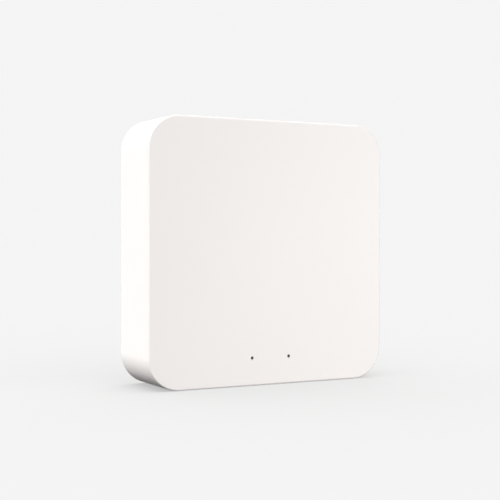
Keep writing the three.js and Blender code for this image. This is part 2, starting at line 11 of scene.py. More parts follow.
import bmesh
import bpy
from mathutils import Matrix, Vector
from mathutils.geometry import interpolate_bezier


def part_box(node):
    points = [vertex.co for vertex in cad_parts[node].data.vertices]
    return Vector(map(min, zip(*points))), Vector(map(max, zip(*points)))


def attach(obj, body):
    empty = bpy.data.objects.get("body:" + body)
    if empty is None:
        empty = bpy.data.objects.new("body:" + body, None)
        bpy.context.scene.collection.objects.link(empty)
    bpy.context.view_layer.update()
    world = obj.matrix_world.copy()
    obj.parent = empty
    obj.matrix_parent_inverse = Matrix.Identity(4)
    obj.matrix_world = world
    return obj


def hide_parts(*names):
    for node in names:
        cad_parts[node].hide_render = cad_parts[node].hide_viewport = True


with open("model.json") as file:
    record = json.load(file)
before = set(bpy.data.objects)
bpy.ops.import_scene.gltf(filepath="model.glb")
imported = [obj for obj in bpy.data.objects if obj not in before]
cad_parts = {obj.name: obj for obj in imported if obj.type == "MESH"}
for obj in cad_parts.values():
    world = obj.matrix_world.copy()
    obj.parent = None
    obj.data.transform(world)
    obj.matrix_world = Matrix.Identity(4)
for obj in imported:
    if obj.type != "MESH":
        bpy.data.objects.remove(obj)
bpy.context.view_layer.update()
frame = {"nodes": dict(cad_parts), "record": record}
NODES = frame["nodes"]

MM = 0.001
X_AXIS = Vector((1, 0, 0))
Z_AXIS = Vector((0, 0, 1))

# -------- sizes

# From the frame
CASE_LOW, CASE_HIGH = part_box("front_cover")
COVER_LOW, COVER_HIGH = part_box("rear_cover")
BUTTON_LOW, BUTTON_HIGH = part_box("reset_button")
CAN_LOW, CAN_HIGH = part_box("lan_jack_shield")
INSERT_LOW, INSERT_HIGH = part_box("lan_jack_insert")
USB_LOW, USB_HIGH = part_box("usb_shell")
TONGUE_LOW, TONGUE_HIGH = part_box("usb_tongue")
LABEL_LOW, LABEL_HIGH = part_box("rating_label")
BOARD_LOW, BOARD_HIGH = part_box("main_board")

CASE_SIDE = CASE_HIGH.x - CASE_LOW.x
MID_Z = CASE_SIDE / 2
Y_FACE = CASE_LOW.y
Y_RIM = CASE_HIGH.y
Z_TOP = CASE_HIGH.z
Y_COVER = COVER_HIGH.y  # the cover's outer face
Y_PARTS = BOARD_LOW.y - 0.05 * MM  # where components sit on the board

# Case
CORNER_R = 11 * MM
CORNER_STEPS = 40
EDGE_STEPS = 8
FACE_EDGE_R = 0.6 * MM
RIM_EDGE_R = 0.25 * MM
WALL = 2 * MM
FACE_T = 2.2 * MM
Y_FACE_IN = Y_FACE + FACE_T
FLAT_IN = 4 * MM  # how far in from the outline the flat ends of a skin are capped
MOUTH_R = 0.15 * MM  # rounding at the mouths of openings
GAP = 0.1 * MM
OVER = 1 * MM  # how far a cutter runs past what it cuts, and a rib into its wall
SCREW_OFFSET = CASE_SIDE / 2 - CORNER_R
CORNERS = [(-1, -1), (1, -1), (-1, 1), (1, 1)]
CORNER_PLACES = [(sx * SCREW_OFFSET, MID_Z + sz * SCREW_OFFSET) for sx, sz in CORNERS]

# Inside of the case
BOSS_R = 3.25 * MM
BOSS_HOLE_R = 1.35 * MM
BOSS_HOLE = 10 * MM
POST_R = 2.5 * MM
POST_HOLE_R = 0.95 * MM
POST_HOLE = 6 * MM
BOARD_SCREW_X = 35.5 * MM
BOARD_SCREW_Z = 21.5 * MM
BOARD_PLACES = [(sx * BOARD_SCREW_X, MID_Z + sz * BOARD_SCREW_Z) for sx, sz in CORNERS]
RIB_T = 1 * MM
RIB_REACH = 1.1 * MM
SIDE_RIBS = [23 * MM, 45 * MM, 67 * MM]
LOWER_RIBS = [-22 * MM, 0, 22 * MM]
UPPER_RIBS = [-31 * MM, 2.6 * MM, 29 * MM]

# Lights
LIGHT_X = 7.1 * MM
LIGHT_Z = 9.4 * MM
LIGHT_PLACES = [(-LIGHT_X, LIGHT_Z), (LIGHT_X, LIGHT_Z)]
PINHOLE_R = 0.55 * MM
PINHOLE_EDGE_R = 0.07 * MM
HOLDER_R = 3.65 * MM
HOLDER_HOLE_R = 2.7 * MM
HOLDER_H = 3 * MM

# Rear cover
COVER_GAP = 0.25 * MM
PLATE_T = 2 * MM
LIP_T = 1.2 * MM
LIP_H = 3 * MM
COVER_EDGE_R = 0.3 * MM
COVER_FLAT_IN = 3 * MM
CUP_R = 4.5 * MM
CUP_FLOOR = 2 * MM
CUP_HEAD_R = 2.9 * MM
CUP_SHANK_R = 1.55 * MM
FOOT_R = 5 * MM
FOOT_SEAT = 0.8 * MM
FOOT_EDGE_R = 0.55 * MM
VENTS = 11
VENT_PITCH = 4.4 * MM
VENT_W = 1.8 * MM
VENT_L = 12 * MM
VENT_END_R = 0.49 * VENT_W
VENT_OFFSET = 26 * MM
VENT_EDGE_R = 0.2 * MM
LABEL_SEAT = 0.25 * MM
LABEL_MARGIN = 0.3 * MM
LABEL_R = 1.5 * MM
LABEL_SEAT_EDGE_R = 0.1 * MM
LABEL_EDGE_R = 0.06 * MM
LABEL_FRAME_IN = 1.8 * MM
LABEL_LINE = 0.12 * MM  # half the thickness of a printed line

# Sockets
SOCKET_HOLE_R = 0.4 * MM
JACK_CLEAR = 0.3 * MM
JACK_MIDDLE = (CAN_LOW + CAN_HIGH) / 2
CAN_T = 0.35 * MM
CAN_FOLD_R = 0.6 * MM
CAN_RIM_R = 0.12 * MM
FINGER_W = 2.4 * MM
FINGER_L = 5 * MM
FINGER_SLOT = 0.3 * MM
PLUG_W = 11.9 * MM
PLUG_H = 6.9 * MM
PLUG_DEEP = 14 * MM
PLUG_OFF = 3.9 * MM
PLUG_END = CAN_HIGH.z - PLUG_DEEP
PLUG_FLOOR_Y = Y_PARTS - PLUG_OFF
PLUG_ROOF_Y = PLUG_FLOOR_Y - PLUG_H
INSERT_R = 0.3 * MM
INSERT_EDGE = 0.2 * MM
INSERT_MOUTH = 0.35 * MM
KEYHOLE_R = 0.15 * MM
LATCH_W = 6.3 * MM
LATCH_H = 2.4 * MM
LATCH_STEP = 1.2 * MM  # depth of the latch's first step at the mouth
CATCH_W = 3.6 * MM
CATCH_T = 1.3 * MM
CONTACTS = 8
CONTACT_PITCH = 1.016 * MM
CONTACT_T = 0.42 * MM
CONTACT_EDGE_R = 0.1 * MM
CONTACT_ROOT = 1.4 * MM
CONTACT_ROUTE = [  # along the socket from its end wall, and towards the board
    (-CONTACT_ROOT, 0),
    (9.6 * MM, 0),
    (11 * MM, 0.35 * MM),
    (10.4 * MM, 1.2 * MM),
    (5.4 * MM, 2.3 * MM),
    (3.2 * MM, 2.6 * MM),
]
SLOT_H = 1 * MM
USB_CLEAR = 0.3 * MM
USB_T = 0.3 * MM
USB_SHOULDER = 1.1 * MM
USB_CUT = 0.9 * MM
USB_WELL_W = 11.8 * MM
USB_WELL_H = 7.6 * MM
USB_WELL_R = 1.6 * MM
USB_WELL_DEEP = 1 * MM
USB_WELL_EDGE_R = 0.2 * MM
USB_FOLD_R = 0.35 * MM
USB_FLARE = [(0.5 * MM, 0), (0.2 * MM, 0.04 * MM), (0, 0.12 * MM)]  # below the mouth, and outwards
USB_FLARE_IN = 0.16 * MM
USB_ROOT = 1.6 * MM
USB_ROOT_GAP = 0.05 * MM
USB_TONGUE_W = 4.6 * MM
USB_TONGUE_T = 0.6 * MM
USB_TONGUE_OFF = 0.1 * MM
USB_TONGUE_R = 0.12 * MM
USB_TONGUE_EDGE = 0.15 * MM
USB_PADS = 5
USB_PAD_PITCH = 0.65 * MM
USB_PAD_W = 0.36 * MM
USB_PAD_SUNK = 0.1 * MM
USB_PAD_PROUD = 0.08 * MM
USB_PAD_BELOW_TIP = 0.5 * MM
USB_PAD_IN_ROOT = 0.4 * MM

# Reset button
RESET_R = 2.4 * MM
RESET_CLEAR = 0.2 * MM
RESET_FLANGE_H = 0.8 * MM
RESET_STEM_R = 1.2 * MM
RESET_EDGE_R = 0.3 * MM
RESET_DISH = 0.25 * MM
DISH_STEPS = 12

# Screws
CASE_SCREW = (1.9 * MM, 1.25 * MM, 1 * MM)  # head height, thread radius and pitch
BOARD_SCREW = (1.4 * MM, 0.85 * MM, 0.6 * MM)
THREAD_ROOT = 0.8
THREAD = [(1, 0.25), (1, 0.4), (THREAD_ROOT, 0.65), (THREAD_ROOT, 1)]  # share of the radius, and of the pitch
SCREW_TIP = 0.15
DOME = 0.65  # share of the head that is domed
DOME_STEPS = 6
RECESS_W = 1 / 3  # the cross recess as shares of the head's radius
RECESS_L = 1.1

# Circuit board
BOARD_CORNER_R = 1 * MM
BOARD_HOLE_R = 1.05 * MM
PAD_R = 2.2 * MM
PLATING = 0.03 * MM
PASSIVE_L = 1.6 * MM
PASSIVE_W = 0.8 * MM
PASSIVE_H = 0.5 * MM
PASSIVE_END = 0.3  # share of the length under each tinned end
PASSIVE_TIN = 0.03 * MM
PASSIVE_ROWS = [  # x and z of the first, the steps to the next, and how many
    (14 * MM, 39 * MM, 0, 1.9 * MM, 7),
    (-8.5 * MM, 39 * MM, 0, 1.9 * MM, 8),
    (-4 * MM, 57.5 * MM, 1.9 * MM, 0, 6),
    (11.5 * MM, 18 * MM, 0, 2.1 * MM, 4),
    (-6 * MM, 18 * MM, 0, 2.1 * MM, 8),
    (28 * MM, 58 * MM, 0, 1.9 * MM, 6),
]
DIMPLE_R = 0.45 * MM
DIMPLE_IN = 1.1 * MM
DIMPLE_DEEP = 0.08 * MM
CHIP_R = 0.18 * MM
CHIP_EDGE_R = 0.15 * MM
LEAD_T = 0.13 * MM
LEAD_IN = 0.2 * MM
LEAD_BEND = 0.25 * MM
LEAD_DOWN = 0.45 * MM
LEAD_REACH = 0.95 * MM
CAP_BASE_H = 0.9 * MM
CAP_BASE_R = 0.6 * MM
CAP_BASE_EDGE_R = 0.1 * MM
CAP_IN = 0.15 * MM  # can to the edge of its base
CAP_SUNK = 0.2 * MM
CAP_CRIMP_UP = 0.9 * MM
CAP_CRIMP_H = 0.3 * MM
CAP_CRIMP_DEEP = 0.25 * MM
CAP_EDGE_R = 0.4 * MM
SHIELD_PITCH = 2.4 * MM
SHIELD_HOLE_R = 0.5 * MM
SHIELD_HOLE = 0.2 * MM
SHOULDER_GAP = 0.2 * MM
SHOULDER_SLOPE = 0.6 * MM
GUIDE_R = 1.5 * MM
GUIDE_TIP_R = 0.46 * MM
TIP_EDGE = 0.1 * MM
TIP_FLAT = 0.7  # share of the tip's radius that is flat
NEAR_AXIS = 0.1  # share of the radius at which the flat end of a turned piece is closed
SHADE_IN_R = 1.65 * MM
CAD_BEVEL = 0.06 * MM
SHARP_ANGLE = math.radians(35)  # edges that turn more than this stay sharp
LEADS = [  # chip, leads on a side, their pitch, the axis of a row, the axis they stick out along, and width
    ("processor_chip", 24, 0.5 * MM, Z_AXIS, X_AXIS, 0.22 * MM),
    ("processor_chip", 24, 0.5 * MM, X_AXIS, Z_AXIS, 0.22 * MM),
    ("memory_chip", 22, 0.8 * MM, Z_AXIS, X_AXIS, 0.32 * MM),
    ("flash_chip", 4, 1.27 * MM, Z_AXIS, X_AXIS, 0.42 * MM),
    ("lan_transformer", 8, 1.27 * MM, X_AXIS, Z_AXIS, 0.42 * MM),
    ("power_chip", 3, 1.27 * MM, Z_AXIS, X_AXIS, 0.42 * MM),
]
SHIELDS = [  # node, material slot, corner radius, edge radius, and holes along a side
    ("power_inductor", "inductor_ferrite", 0.8 * MM, 0.3 * MM, 0),
    ("crystal", "component_steel", 1.6 * MM, 0.35 * MM, 0),
    ("radio_shield", "component_steel", 0.5 * MM, 0.25 * MM, 5),
]

# -------- outlines and rings


def rounded_outline(width, height, radius, steps):
    """Points (u, v) of a rounded rectangle about the origin, counterclockwise."""
    points = []
    for corner in range(4):
        u = (width / 2 - radius) * (1 if corner in (0, 3) else -1)
        v = (height / 2 - radius) * (1 if corner < 2 else -1)
        for i in range(steps + 1):
            angle = (corner + i / steps) * math.pi / 2
            points.append((u + radius * math.cos(angle), v + radius * math.sin(angle)))
    return points


def circle_outline(radius, steps=48):
    turn = 2 * math.pi / steps
    return [(radius * math.cos(i * turn), radius * math.sin(i * turn)) for i in range(steps)]


def soften(corners, radius, steps=4):
    """A polygon's outline with its corners rounded off."""
    points = [Vector(corner) for corner in corners]
    outline = []
    for before, corner, after in zip(points[-1:] + points[:-1], points, points[1:] + points[:1]):
        back = (before - corner).normalized()
        ahead = (after - corner).normalized()
        reach = radius / math.tan(back.angle(ahead) / 2)
        for i in range(steps + 1):
            t = i / steps
            outline.append(tuple(corner + reach * ((1 - t) ** 2 * back + t**2 * ahead)))
    return outline


def smooth_path(points, steps=6):
    """A curve through points, whose direction at each one comes from its neighbours."""
    ends = [points[0], *points, points[-1]]
    path = []
    for before, start, end, after in zip(ends, ends[1:], ends[2:], ends[3:]):
        start_handle = start + (end - before) / 6
        end_handle = end - (after - start) / 6
        path += interpolate_bezier(start, start_handle, end_handle, end, steps + 1)[:-1]
    return [*path, points[-1]]


def in_y(outline, x, z, y):
    """An outline as a ring across Y, about x, z."""
    return [Vector((x + u, y, z + v)) for u, v in outline]


def in_z(outline, x, y, z):
    """An outline as a ring across Z, about x, y."""
    return [Vector((x + u, y + v, z)) for u, v in outline]


def quarter(radius, steps=4):
    """(run-in, rise) along a quarter round from a wall to the face across it: both go from 0 to radius."""
    angles = [i / steps * math.pi / 2 for i in range(steps + 1)]
    return [(radius * (1 - math.cos(t)), radius * math.sin(t)) for t in angles]


# -------- mesh making


def add_object(name, data):
    obj = bpy.data.objects.new(name, data)
    bpy.context.scene.collection.objects.link(obj)
    return obj


def make_object(name, bm):
    mesh = bpy.data.meshes.new(name)
    bm.to_mesh(mesh)
    bm.free()
    return add_object(name, mesh)


def loft(name, rings):
    """A closed skin through rings of equally many points, capped at both ends."""
    bm = bmesh.new()
    rows = [[bm.verts.new(point) for point in ring] for ring in rings]
    count = len(rows[0])
    for near, far in zip(rows, rows[1:]):
        for i in range(count):
            j = (i + 1) % count
            bm.faces.new((near[i], near[j], far[j], far[i]))
    bm.faces.new(rows[0])
    bm.faces.new(rows[-1])
    bmesh.ops.recalc_face_normals(bm, faces=bm.faces)
    return make_object(name, bm)


def combine(target, tool, operation):
    """Cuts or joins target with tool, and removes tool."""
    modifier = target.modifiers.new("combine", "BOOLEAN")
    modifier.operation = operation
    modifier.solver = "EXACT"
    modifier.object = tool
    graph = bpy.context.evaluated_depsgraph_get()
    mesh = bpy.data.meshes.new_from_object(target.evaluated_get(graph))
    target.modifiers.clear()
    old = target.data
    target.data = mesh
    bpy.data.meshes.remove(old)
    bpy.data.objects.remove(tool)


def gather(parts, name="tools"):
    """Several objects that stay clear of each other, as one."""
    bm = bmesh.new()
    for part in parts:
        bm.from_mesh(part.data)
        bpy.data.objects.remove(part)
    return make_object(name, bm)


def cut(target, *tools):
    combine(target, gather(tools), "DIFFERENCE")


def join(target, *tools):
    combine(target, gather(tools), "UNION")


def shade(obj):
    """Smooth shading that stays flat on flat faces."""
    obj.data.polygons.foreach_set("use_smooth", [True] * len(obj.data.polygons))
    obj.data.set_sharp_from_angle(angle=SHARP_ANGLE)
    modifier = obj.modifiers.new("normals", "WEIGHTED_NORMAL")
    modifier.keep_sharp = True


def box(low, high):
    """A plain box between two corners, for cutting and joining."""
    corners = ((low[0], low[1]), (high[0], low[1]), (high[0], high[1]), (low[0], high[1]))
    return loft("box", [[Vector((x, y, z)) for x, y in corners] for z in (low[2], high[2])])


def rod_y(radius, x, z, y_from, y_to, steps=48):
    outline = circle_outline(radius, steps)
    return loft("rod", [in_y(outline, x, z, y_from), in_y(outline, x, z, y_to)])


def rods_y(radius, places, y_from, y_to, steps=48):
    return [rod_y(radius, x, z, y_from, y_to, steps) for x, z in places]


def mouth_cutter(outline_at, ring_at, surface, inward, deep, edge_r=MOUTH_R):
    """A cutter into a flat surface, which leaves the mouth of its hole rounded.

    outline_at(grow) is its outline, ring_at(outline, level) puts that in place, and inward is the sign of the
    way into the material.
    """
    levels = [(deep, 0)]
    levels += [(edge_r - rise, run) for run, rise in quarter(edge_r)]
    levels.append((-OVER, edge_r))
    return loft("cutter", [ring_at(outline_at(grow), surface + inward * depth) for depth, grow in levels])


def rect_hole_top(width, depth, x, y, radius, deep, steps=6, edge_r=MOUTH_R):
    """A cutter for a rounded rectangular hole in the upper wall."""
    return mouth_cutter(
        lambda grow: rounded_outline(width + 2 * grow, depth + 2 * grow, radius + grow, steps),
        lambda outline, z: in_z(outline, x, y, z),
        Z_TOP,
        -1,
        deep,
        edge_r,
    )


def round_hole(radius, x, z, surface, inward, deep, edge_r=MOUTH_R, steps=48):
    """A cutter for a round hole along Y."""
    return mouth_cutter(
        lambda grow: circle_outline(radius + grow, steps),
        lambda outline, y: in_y(outline, x, z, y),
        surface,
        inward,
        deep,
        edge_r,
    )


def turned_z(name, profile, x, y, steps=64):
    """A turned piece about a line along Z, from [radius, z] pairs that start and end near the axis."""
    return loft(name, [in_z(circle_outline(radius, steps), x, y, z) for radius, z in profile])


def turned_y(name, profile, x, z, steps=64):
    return loft(name, [in_y(circle_outline(radius, steps), x, z, y) for radius, y in profile])


def block_y(name, low, high, corner_r, edge_r, steps=5):
    """A block between two corners, with round corners seen along Y and a rounded edge on its -Y side."""
    middle = (low + high) / 2
    size = high - low
    rings = [in_y(rounded_outline(size.x, size.z, corner_r, steps), middle.x, middle.z, high.y)]
    for run, rise in quarter(edge_r):
        outline = rounded_outline(size.x - 2 * run, size.z - 2 * run, corner_r, steps)
        rings.append(in_y(outline, middle.x, middle.z, low.y + edge_r - rise))
    return loft(name, rings)


def strip(name, path, across, section):
    """A bar along a path, with its section's first axis along the unit vector across."""
    rings = []
    for k, point in enumerate(path):
        before, after = path[max(k - 1, 0)], path[min(k + 1, len(path) - 1)]
        up = across.cross((after - before).normalized())
        rings.append([point + across * u + up * v for u, v in section])
    return loft(name, rings)


# -------- materials


class Nodes:
    """A short way to write a node material: nodes by type, and links from socket to socket."""

    def __init__(self, name, **settings):
        self.material = bpy.data.materials.new(name)
        self.material.use_nodes = True
        self.tree = self.material.node_tree
        self.shader = self.tree.nodes["Principled BSDF"]
        self.place = self.add("TexCoord").outputs["Object"]
        for key, value in settings.items():
            self.shader.inputs[key.replace("_", " ")].default_value = value

    def add(self, kind, **settings):
        node = self.tree.nodes.new("ShaderNode" + kind)
        for key, value in settings.items():
            setattr(node, key, value)
        return node

    def feed(self, value, socket):
        """Links a socket, or sets a number or colour."""
        if isinstance(value, bpy.types.NodeSocket):
            self.tree.links.new(value, socket)
        elif isinstance(value, tuple) and socket.type == "RGBA":
            socket.default_value = (*value, 1)
        else:
            socket.default_value = value

    def stretched(self, scale):
        """The place, scaled by its own factor along each axis."""
        node = self.add("Mapping")
        self.feed(self.place, node.inputs["Vector"])
        self.feed(scale, node.inputs["Scale"])
        return node.outputs["Vector"]

    def noise(self, scale, detail=2.0, roughness=0.5, place=None):
        node = self.add("TexNoise")
        self.feed(scale, node.inputs["Scale"])
        self.feed(detail, node.inputs["Detail"])
        self.feed(roughness, node.inputs["Roughness"])
        self.feed(place or self.place, node.inputs["Vector"])
        return node.outputs["Fac"]

    def remap(self, value, low, high, to_low=0.0, to_high=1.0):
        node = self.add("MapRange")
        for key, number in zip(("From Min", "From Max", "To Min", "To Max"), (low, high, to_low, to_high)):
            self.feed(number, node.inputs[key])
        self.feed(value, node.inputs["Value"])
        return node.outputs["Result"]

    def drift(self, scale, detail=2.0):
        """A slow change between 0 and 1."""
        return self.remap(self.noise(scale, detail), 0.35, 0.65)

    def vary(self, scale, detail, low=0.0, high=1.0):
        return self.remap(self.noise(scale, detail), 0.3, 0.7, low, high)

    def math(self, operation, first, second):
        node = self.add("Math", operation=operation)
        self.feed(first, node.inputs[0])
        self.feed(second, node.inputs[1])
        return node.outputs[0]

    def mix(self, fac, first, second):
        node = self.add("Mix", data_type="RGBA")
        self.feed(fac, node.inputs["Factor"])
        self.feed(first, node.inputs[6])
        self.feed(second, node.inputs[7])
        return node.outputs[2]

    def bump(self, height, distance, below=None):
        node = self.add("Bump")
        self.feed(distance, node.inputs["Distance"])
        self.feed(height, node.inputs["Height"])
        if below is not None:
            self.feed(below, node.inputs["Normal"])
        return node.outputs["Normal"]

    def wear(self, colour=None, rough=None, normal=None):
        """Gives the shader its colour, roughness and normal, and hands back the material."""
        for value, key in ((colour, "Base Color"), (rough, "Roughness"), (normal, "Normal")):
            if value is not None:
                self.feed(value, self.shader.inputs[key])
        return self.material


def moulded(name, light, dark, rough, grain=0.012 * MM, specks=False):
    """Injection moulded plastic: a fine spark-eroded grain, and a slow drift in colour and gloss."""
    n = Nodes(name)
    colour = n.mix(n.drift(28), light, dark)
    if specks:
        cells = n.add("TexVoronoi")
        n.feed(n.place, cells.inputs["Vector"])
        n.feed(130.0, cells.inputs["Scale"])
        dot = n.remap(cells.outputs["Distance"], 0.02, 0.045, 1.0, 0.0)
        chance = n.remap(n.noise(95, 0), 0.68, 0.74, 0.0, 0.35)
        colour = n.mix(n.math("MULTIPLY", dot, chance), colour, (0.42, 0.4, 0.38))
    wave = n.bump(n.noise(160, 1), 0.005 * MM)
    return n.wear(
        colour,
        n.vary(400, 3, rough - 0.02, rough + 0.02),
        n.bump(n.noise(4200, 2, 0.6), grain, below=wave),
    )


def metal(name, light, dark, rough, stretch=(1, 1, 1), grain=0.0008 * MM):
    """Plated or rolled metal: colour and gloss vary along its grain."""
    n = Nodes(name, Metallic=1.0)
    place = n.stretched(stretch)
    streaks = n.noise(1500, 3, 0.6, place)
    return n.wear(
        n.mix(n.vary(350, 2), light, dark),
        n.remap(streaks, 0.3, 0.7, rough - 0.06, rough + 0.06),
        n.bump(streaks, grain),
    )


def rubber(name, light, dark, rough=0.8):
    n = Nodes(name)
    return n.wear(
        n.mix(n.drift(900, 3), light, dark),
        n.vary(400, 2, rough - 0.06, rough + 0.08),
        n.bump(n.noise(5200, 3, 0.7), 0.03 * MM),
    )


def film(name):
    """A blank satin label, with a thin printed frame and two rules."""
    n = Nodes(name)
    split = n.add("SeparateXYZ")
    n.feed(n.place, split.inputs[0])
    half_w = (LABEL_HIGH.x - LABEL_LOW.x) / 2
    half_h = (LABEL_HIGH.z - LABEL_LOW.z) / 2
    across = n.math("ABSOLUTE", split.outputs["X"], 0.0)
    up = n.math("ABSOLUTE", n.math("SUBTRACT", split.outputs["Z"], MID_Z), 0.0)
    edge = n.math("MAXIMUM", n.math("SUBTRACT", across, half_w), n.math("SUBTRACT", up, half_h))
    frame_line = n.math("COMPARE", edge, -LABEL_FRAME_IN)
    frame_line.node.inputs[2].default_value = LABEL_LINE
    rule = n.math("COMPARE", up, half_h / 3)
    rule.node.inputs[2].default_value = LABEL_LINE
    inside = n.math("LESS_THAN", edge, -LABEL_FRAME_IN)
    ink = n.math("MAXIMUM", frame_line, n.math("MULTIPLY", rule, inside))
    paper = n.mix(n.drift(300), (0.8, 0.79, 0.78), (0.785, 0.775, 0.765))
    return n.wear(
        n.mix(ink, paper, (0.3, 0.31, 0.32)),
        n.vary(600, 3, 0.34, 0.46),
        n.bump(n.noise(2500, 2), 0.006 * MM),
    )


def solder_mask(name):
    """Green solder mask over faint copper tracks, with flecks of bare tinned pads."""
    n = Nodes(name)
    tracks = n.add("TexBrick")
    turned = n.add("Mapping")
    n.feed(n.place, turned.inputs["Vector"])
    n.feed((math.radians(90), 0, 0), turned.inputs["Rotation"])
    n.feed(turned.outputs["Vector"], tracks.inputs["Vector"])
    n.feed(260.0, tracks.inputs["Scale"])
    n.feed(0.09, tracks.inputs["Mortar Size"])
    copper = tracks.outputs["Fac"]
    base = n.mix(n.drift(60), (0.012, 0.105, 0.045), (0.015, 0.125, 0.055))
    pads = n.add("TexVoronoi")
    n.feed(n.place, pads.inputs["Vector"])
    n.feed(420.0, pads.inputs["Scale"])
    pad = n.remap(pads.outputs["Distance"], 0.17, 0.2, 1.0, 0.0)
    some = n.remap(n.noise(160, 1), 0.56, 0.6)
    colour = n.mix(n.math("MULTIPLY", copper, 0.5), base, (0.04, 0.2, 0.08))
    colour = n.mix(n.math("MULTIPLY", pad, some), colour, (0.55, 0.56, 0.56))
    return n.wear(
        colour,
        n.vary(500, 2, 0.28, 0.4),
        n.bump(copper, 0.02 * MM, below=n.bump(n.noise(900, 2), 0.01 * MM)),
    )


def clear_tint(name, colour, rough):
    """Clear or tinted plastic that shows its own depth of colour."""
    n = Nodes(name, IOR=1.49)
    n.shader.inputs["Transmission Weight"].default_value = 0.6
    return n.wear(
        n.mix(n.vary(500, 2), colour, tuple(0.85 * c for c in colour)),
        n.vary(700, 2, rough, rough + 0.08),
    )


MATERIALS = {
    "case_plastic": moulded("white_plastic", (0.86, 0.824, 0.806), (0.854, 0.818, 0.801), 0.57, specks=True),
    "button_plastic": moulded("button_plastic", (0.72, 0.7, 0.69), (0.7, 0.68, 0.67), 0.42),
    "foot_rubber": rubber("foot_rubber", (0.42, 0.42, 0.41), (0.36, 0.36, 0.355)),
    "screw_steel": metal("zinc_steel", (0.58, 0.59, 0.62), (0.5, 0.51, 0.54), 0.3),
    "label_film": film("label_film"),
    "circuit_board": solder_mask("solder_mask"),
    "led_lens": clear_tint("led_lens", (0.9, 0.87, 0.74), 0.12),
    # near-black tint on the light guides: painted shade for the pinholes in the face
    "light_guide": clear_tint("pinhole_shade_guide", (0.03, 0.03, 0.032), 0.1),
    "shade_rubber": rubber("shade_rubber", (0.02, 0.02, 0.02), (0.012, 0.012, 0.012)),
    "socket_steel": metal("tinned_steel", (0.68, 0.68, 0.67), (0.6, 0.6, 0.6), 0.26, stretch=(1, 1, 0.06)),
    "socket_plastic": moulded("socket_plastic", (0.02, 0.02, 0.022), (0.014, 0.014, 0.016), 0.42),
    "contact_gold": metal("gold_plate", (0.86, 0.62, 0.26), (0.8, 0.56, 0.22), 0.22),
    "switch_plastic": moulded("switch_plastic", (0.025, 0.025, 0.028), (0.016, 0.016, 0.018), 0.4),
    "chip_plastic": moulded("chip_epoxy", (0.03, 0.03, 0.033), (0.022, 0.022, 0.025), 0.55, grain=0.02 * MM),
    "capacitor_can": metal(
        "drawn_aluminium", (0.8, 0.8, 0.81), (0.72, 0.72, 0.74), 0.25, stretch=(1, 0.05, 1)
    ),
    "inductor_ferrite": moulded("ferrite", (0.07, 0.07, 0.075), (0.05, 0.05, 0.054), 0.62, grain=0.03 * MM),
    "component_steel": metal("tin_plate", (0.62, 0.62, 0.62), (0.54, 0.54, 0.55), 0.24),
    "antenna_brass": metal("stamped_brass", (0.78, 0.58, 0.27), (0.7, 0.5, 0.22), 0.28),
}


def dress_cad_nodes():
    """Every CAD node gets the material of its slot. Fine pieces later stand in for some of them."""
    for row in frame["record"]["subparts"]:
        mesh = NODES[row["node"]].data
        mesh.materials.clear()
        mesh.materials.append(MATERIALS[row["material_slot"]])


def dress(piece, slot, *nodes, body="hub"):
    """Gives a fine piece its material, and puts it in the place of CAD nodes."""
    piece.data.materials.clear()
    piece.data.materials.append(MATERIALS[slot])
    shade(piece)
    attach(piece, body)
    if nodes:
        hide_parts(*nodes)


# -------- front cover


def case_outline(inset):
    side = CASE_SIDE - 2 * inset
    return rounded_outline(side, side, CORNER_R - inset, CORNER_STEPS)


def case_ring(inset, y):
    return in_y(case_outline(inset), 0, MID_Z, y)


def case_skin():
    """The shell from the inside of its face, out over the rear rim, and round to the face."""
    rim = quarter(RIM_EDGE_R)
    edge = quarter(FACE_EDGE_R, EDGE_STEPS)
    y_rim = Y_RIM - RIM_EDGE_R
    profile = [(WALL + FLAT_IN, Y_FACE_IN), (WALL, Y_FACE_IN)]
    profile += [(WALL - run, y_rim + rise) for run, rise in rim]
    profile += [(run, y_rim + rise) for run, rise in reversed(rim)]
    profile += [(run, Y_FACE + FACE_EDGE_R - rise) for run, rise in edge]
    profile.append((FLAT_IN, Y_FACE))
    return loft("front_shell", [case_ring(inset, y) for inset, y in profile])


def case_ribs():
    """Ribs on the walls, whose ends stop the lip of the rear cover."""
    y_end = Y_COVER - PLATE_T - LIP_H - GAP
    y_face = Y_FACE_IN - OVER
    side_out = CASE_SIDE / 2 - WALL + OVER
    side_in = CASE_SIDE / 2 - WALL - RIB_REACH
    half = RIB_T / 2
    ribs = []
    for sign in (-1, 1):
        low_x, high_x = sorted((sign * side_in, sign * side_out))
        for z in SIDE_RIBS:
            ribs.append(box((low_x, y_face, z - half), (high_x, y_end, z + half)))
    for x in LOWER_RIBS:
        ribs.append(box((x - half, y_face, MID_Z - side_out), (x + half, y_end, MID_Z - side_in)))
    for x in UPPER_RIBS:
        ribs.append(box((x - half, y_face, MID_Z + side_in), (x + half, y_end, MID_Z + side_out)))
    return ribs


def case_posts():
    """The bosses for the case screws, the posts for the board, and the rings round the light guides."""
    y_boss = COVER_LOW.y - GAP
    y_post = BOARD_LOW.y - GAP
    y_root = Y_FACE_IN - OVER
    y_ring = Y_FACE_IN + HOLDER_H
    posts = rods_y(BOSS_R, CORNER_PLACES, y_root, y_boss)
    posts += rods_y(POST_R, BOARD_PLACES, y_root, y_post)
    posts += rods_y(HOLDER_R, LIGHT_PLACES, y_root, y_ring)
    holes = rods_y(BOSS_HOLE_R, CORNER_PLACES, y_boss - BOSS_HOLE, y_boss + OVER)
    holes += rods_y(POST_HOLE_R, BOARD_PLACES, y_post - POST_HOLE, y_post + OVER)
    holes += rods_y(HOLDER_HOLE_R, LIGHT_PLACES, Y_FACE_IN, y_ring + OVER)
    return posts, holes


def wall_hole(low, high, clear):
    """A rounded rectangular hole through the upper wall, for a socket between those corners."""
    middle = (low + high) / 2
    width, depth, _ = high - low + Vector((2, 2, 0)) * clear
    return rect_hole_top(width, depth, middle.x, middle.y, SOCKET_HOLE_R, WALL + OVER)


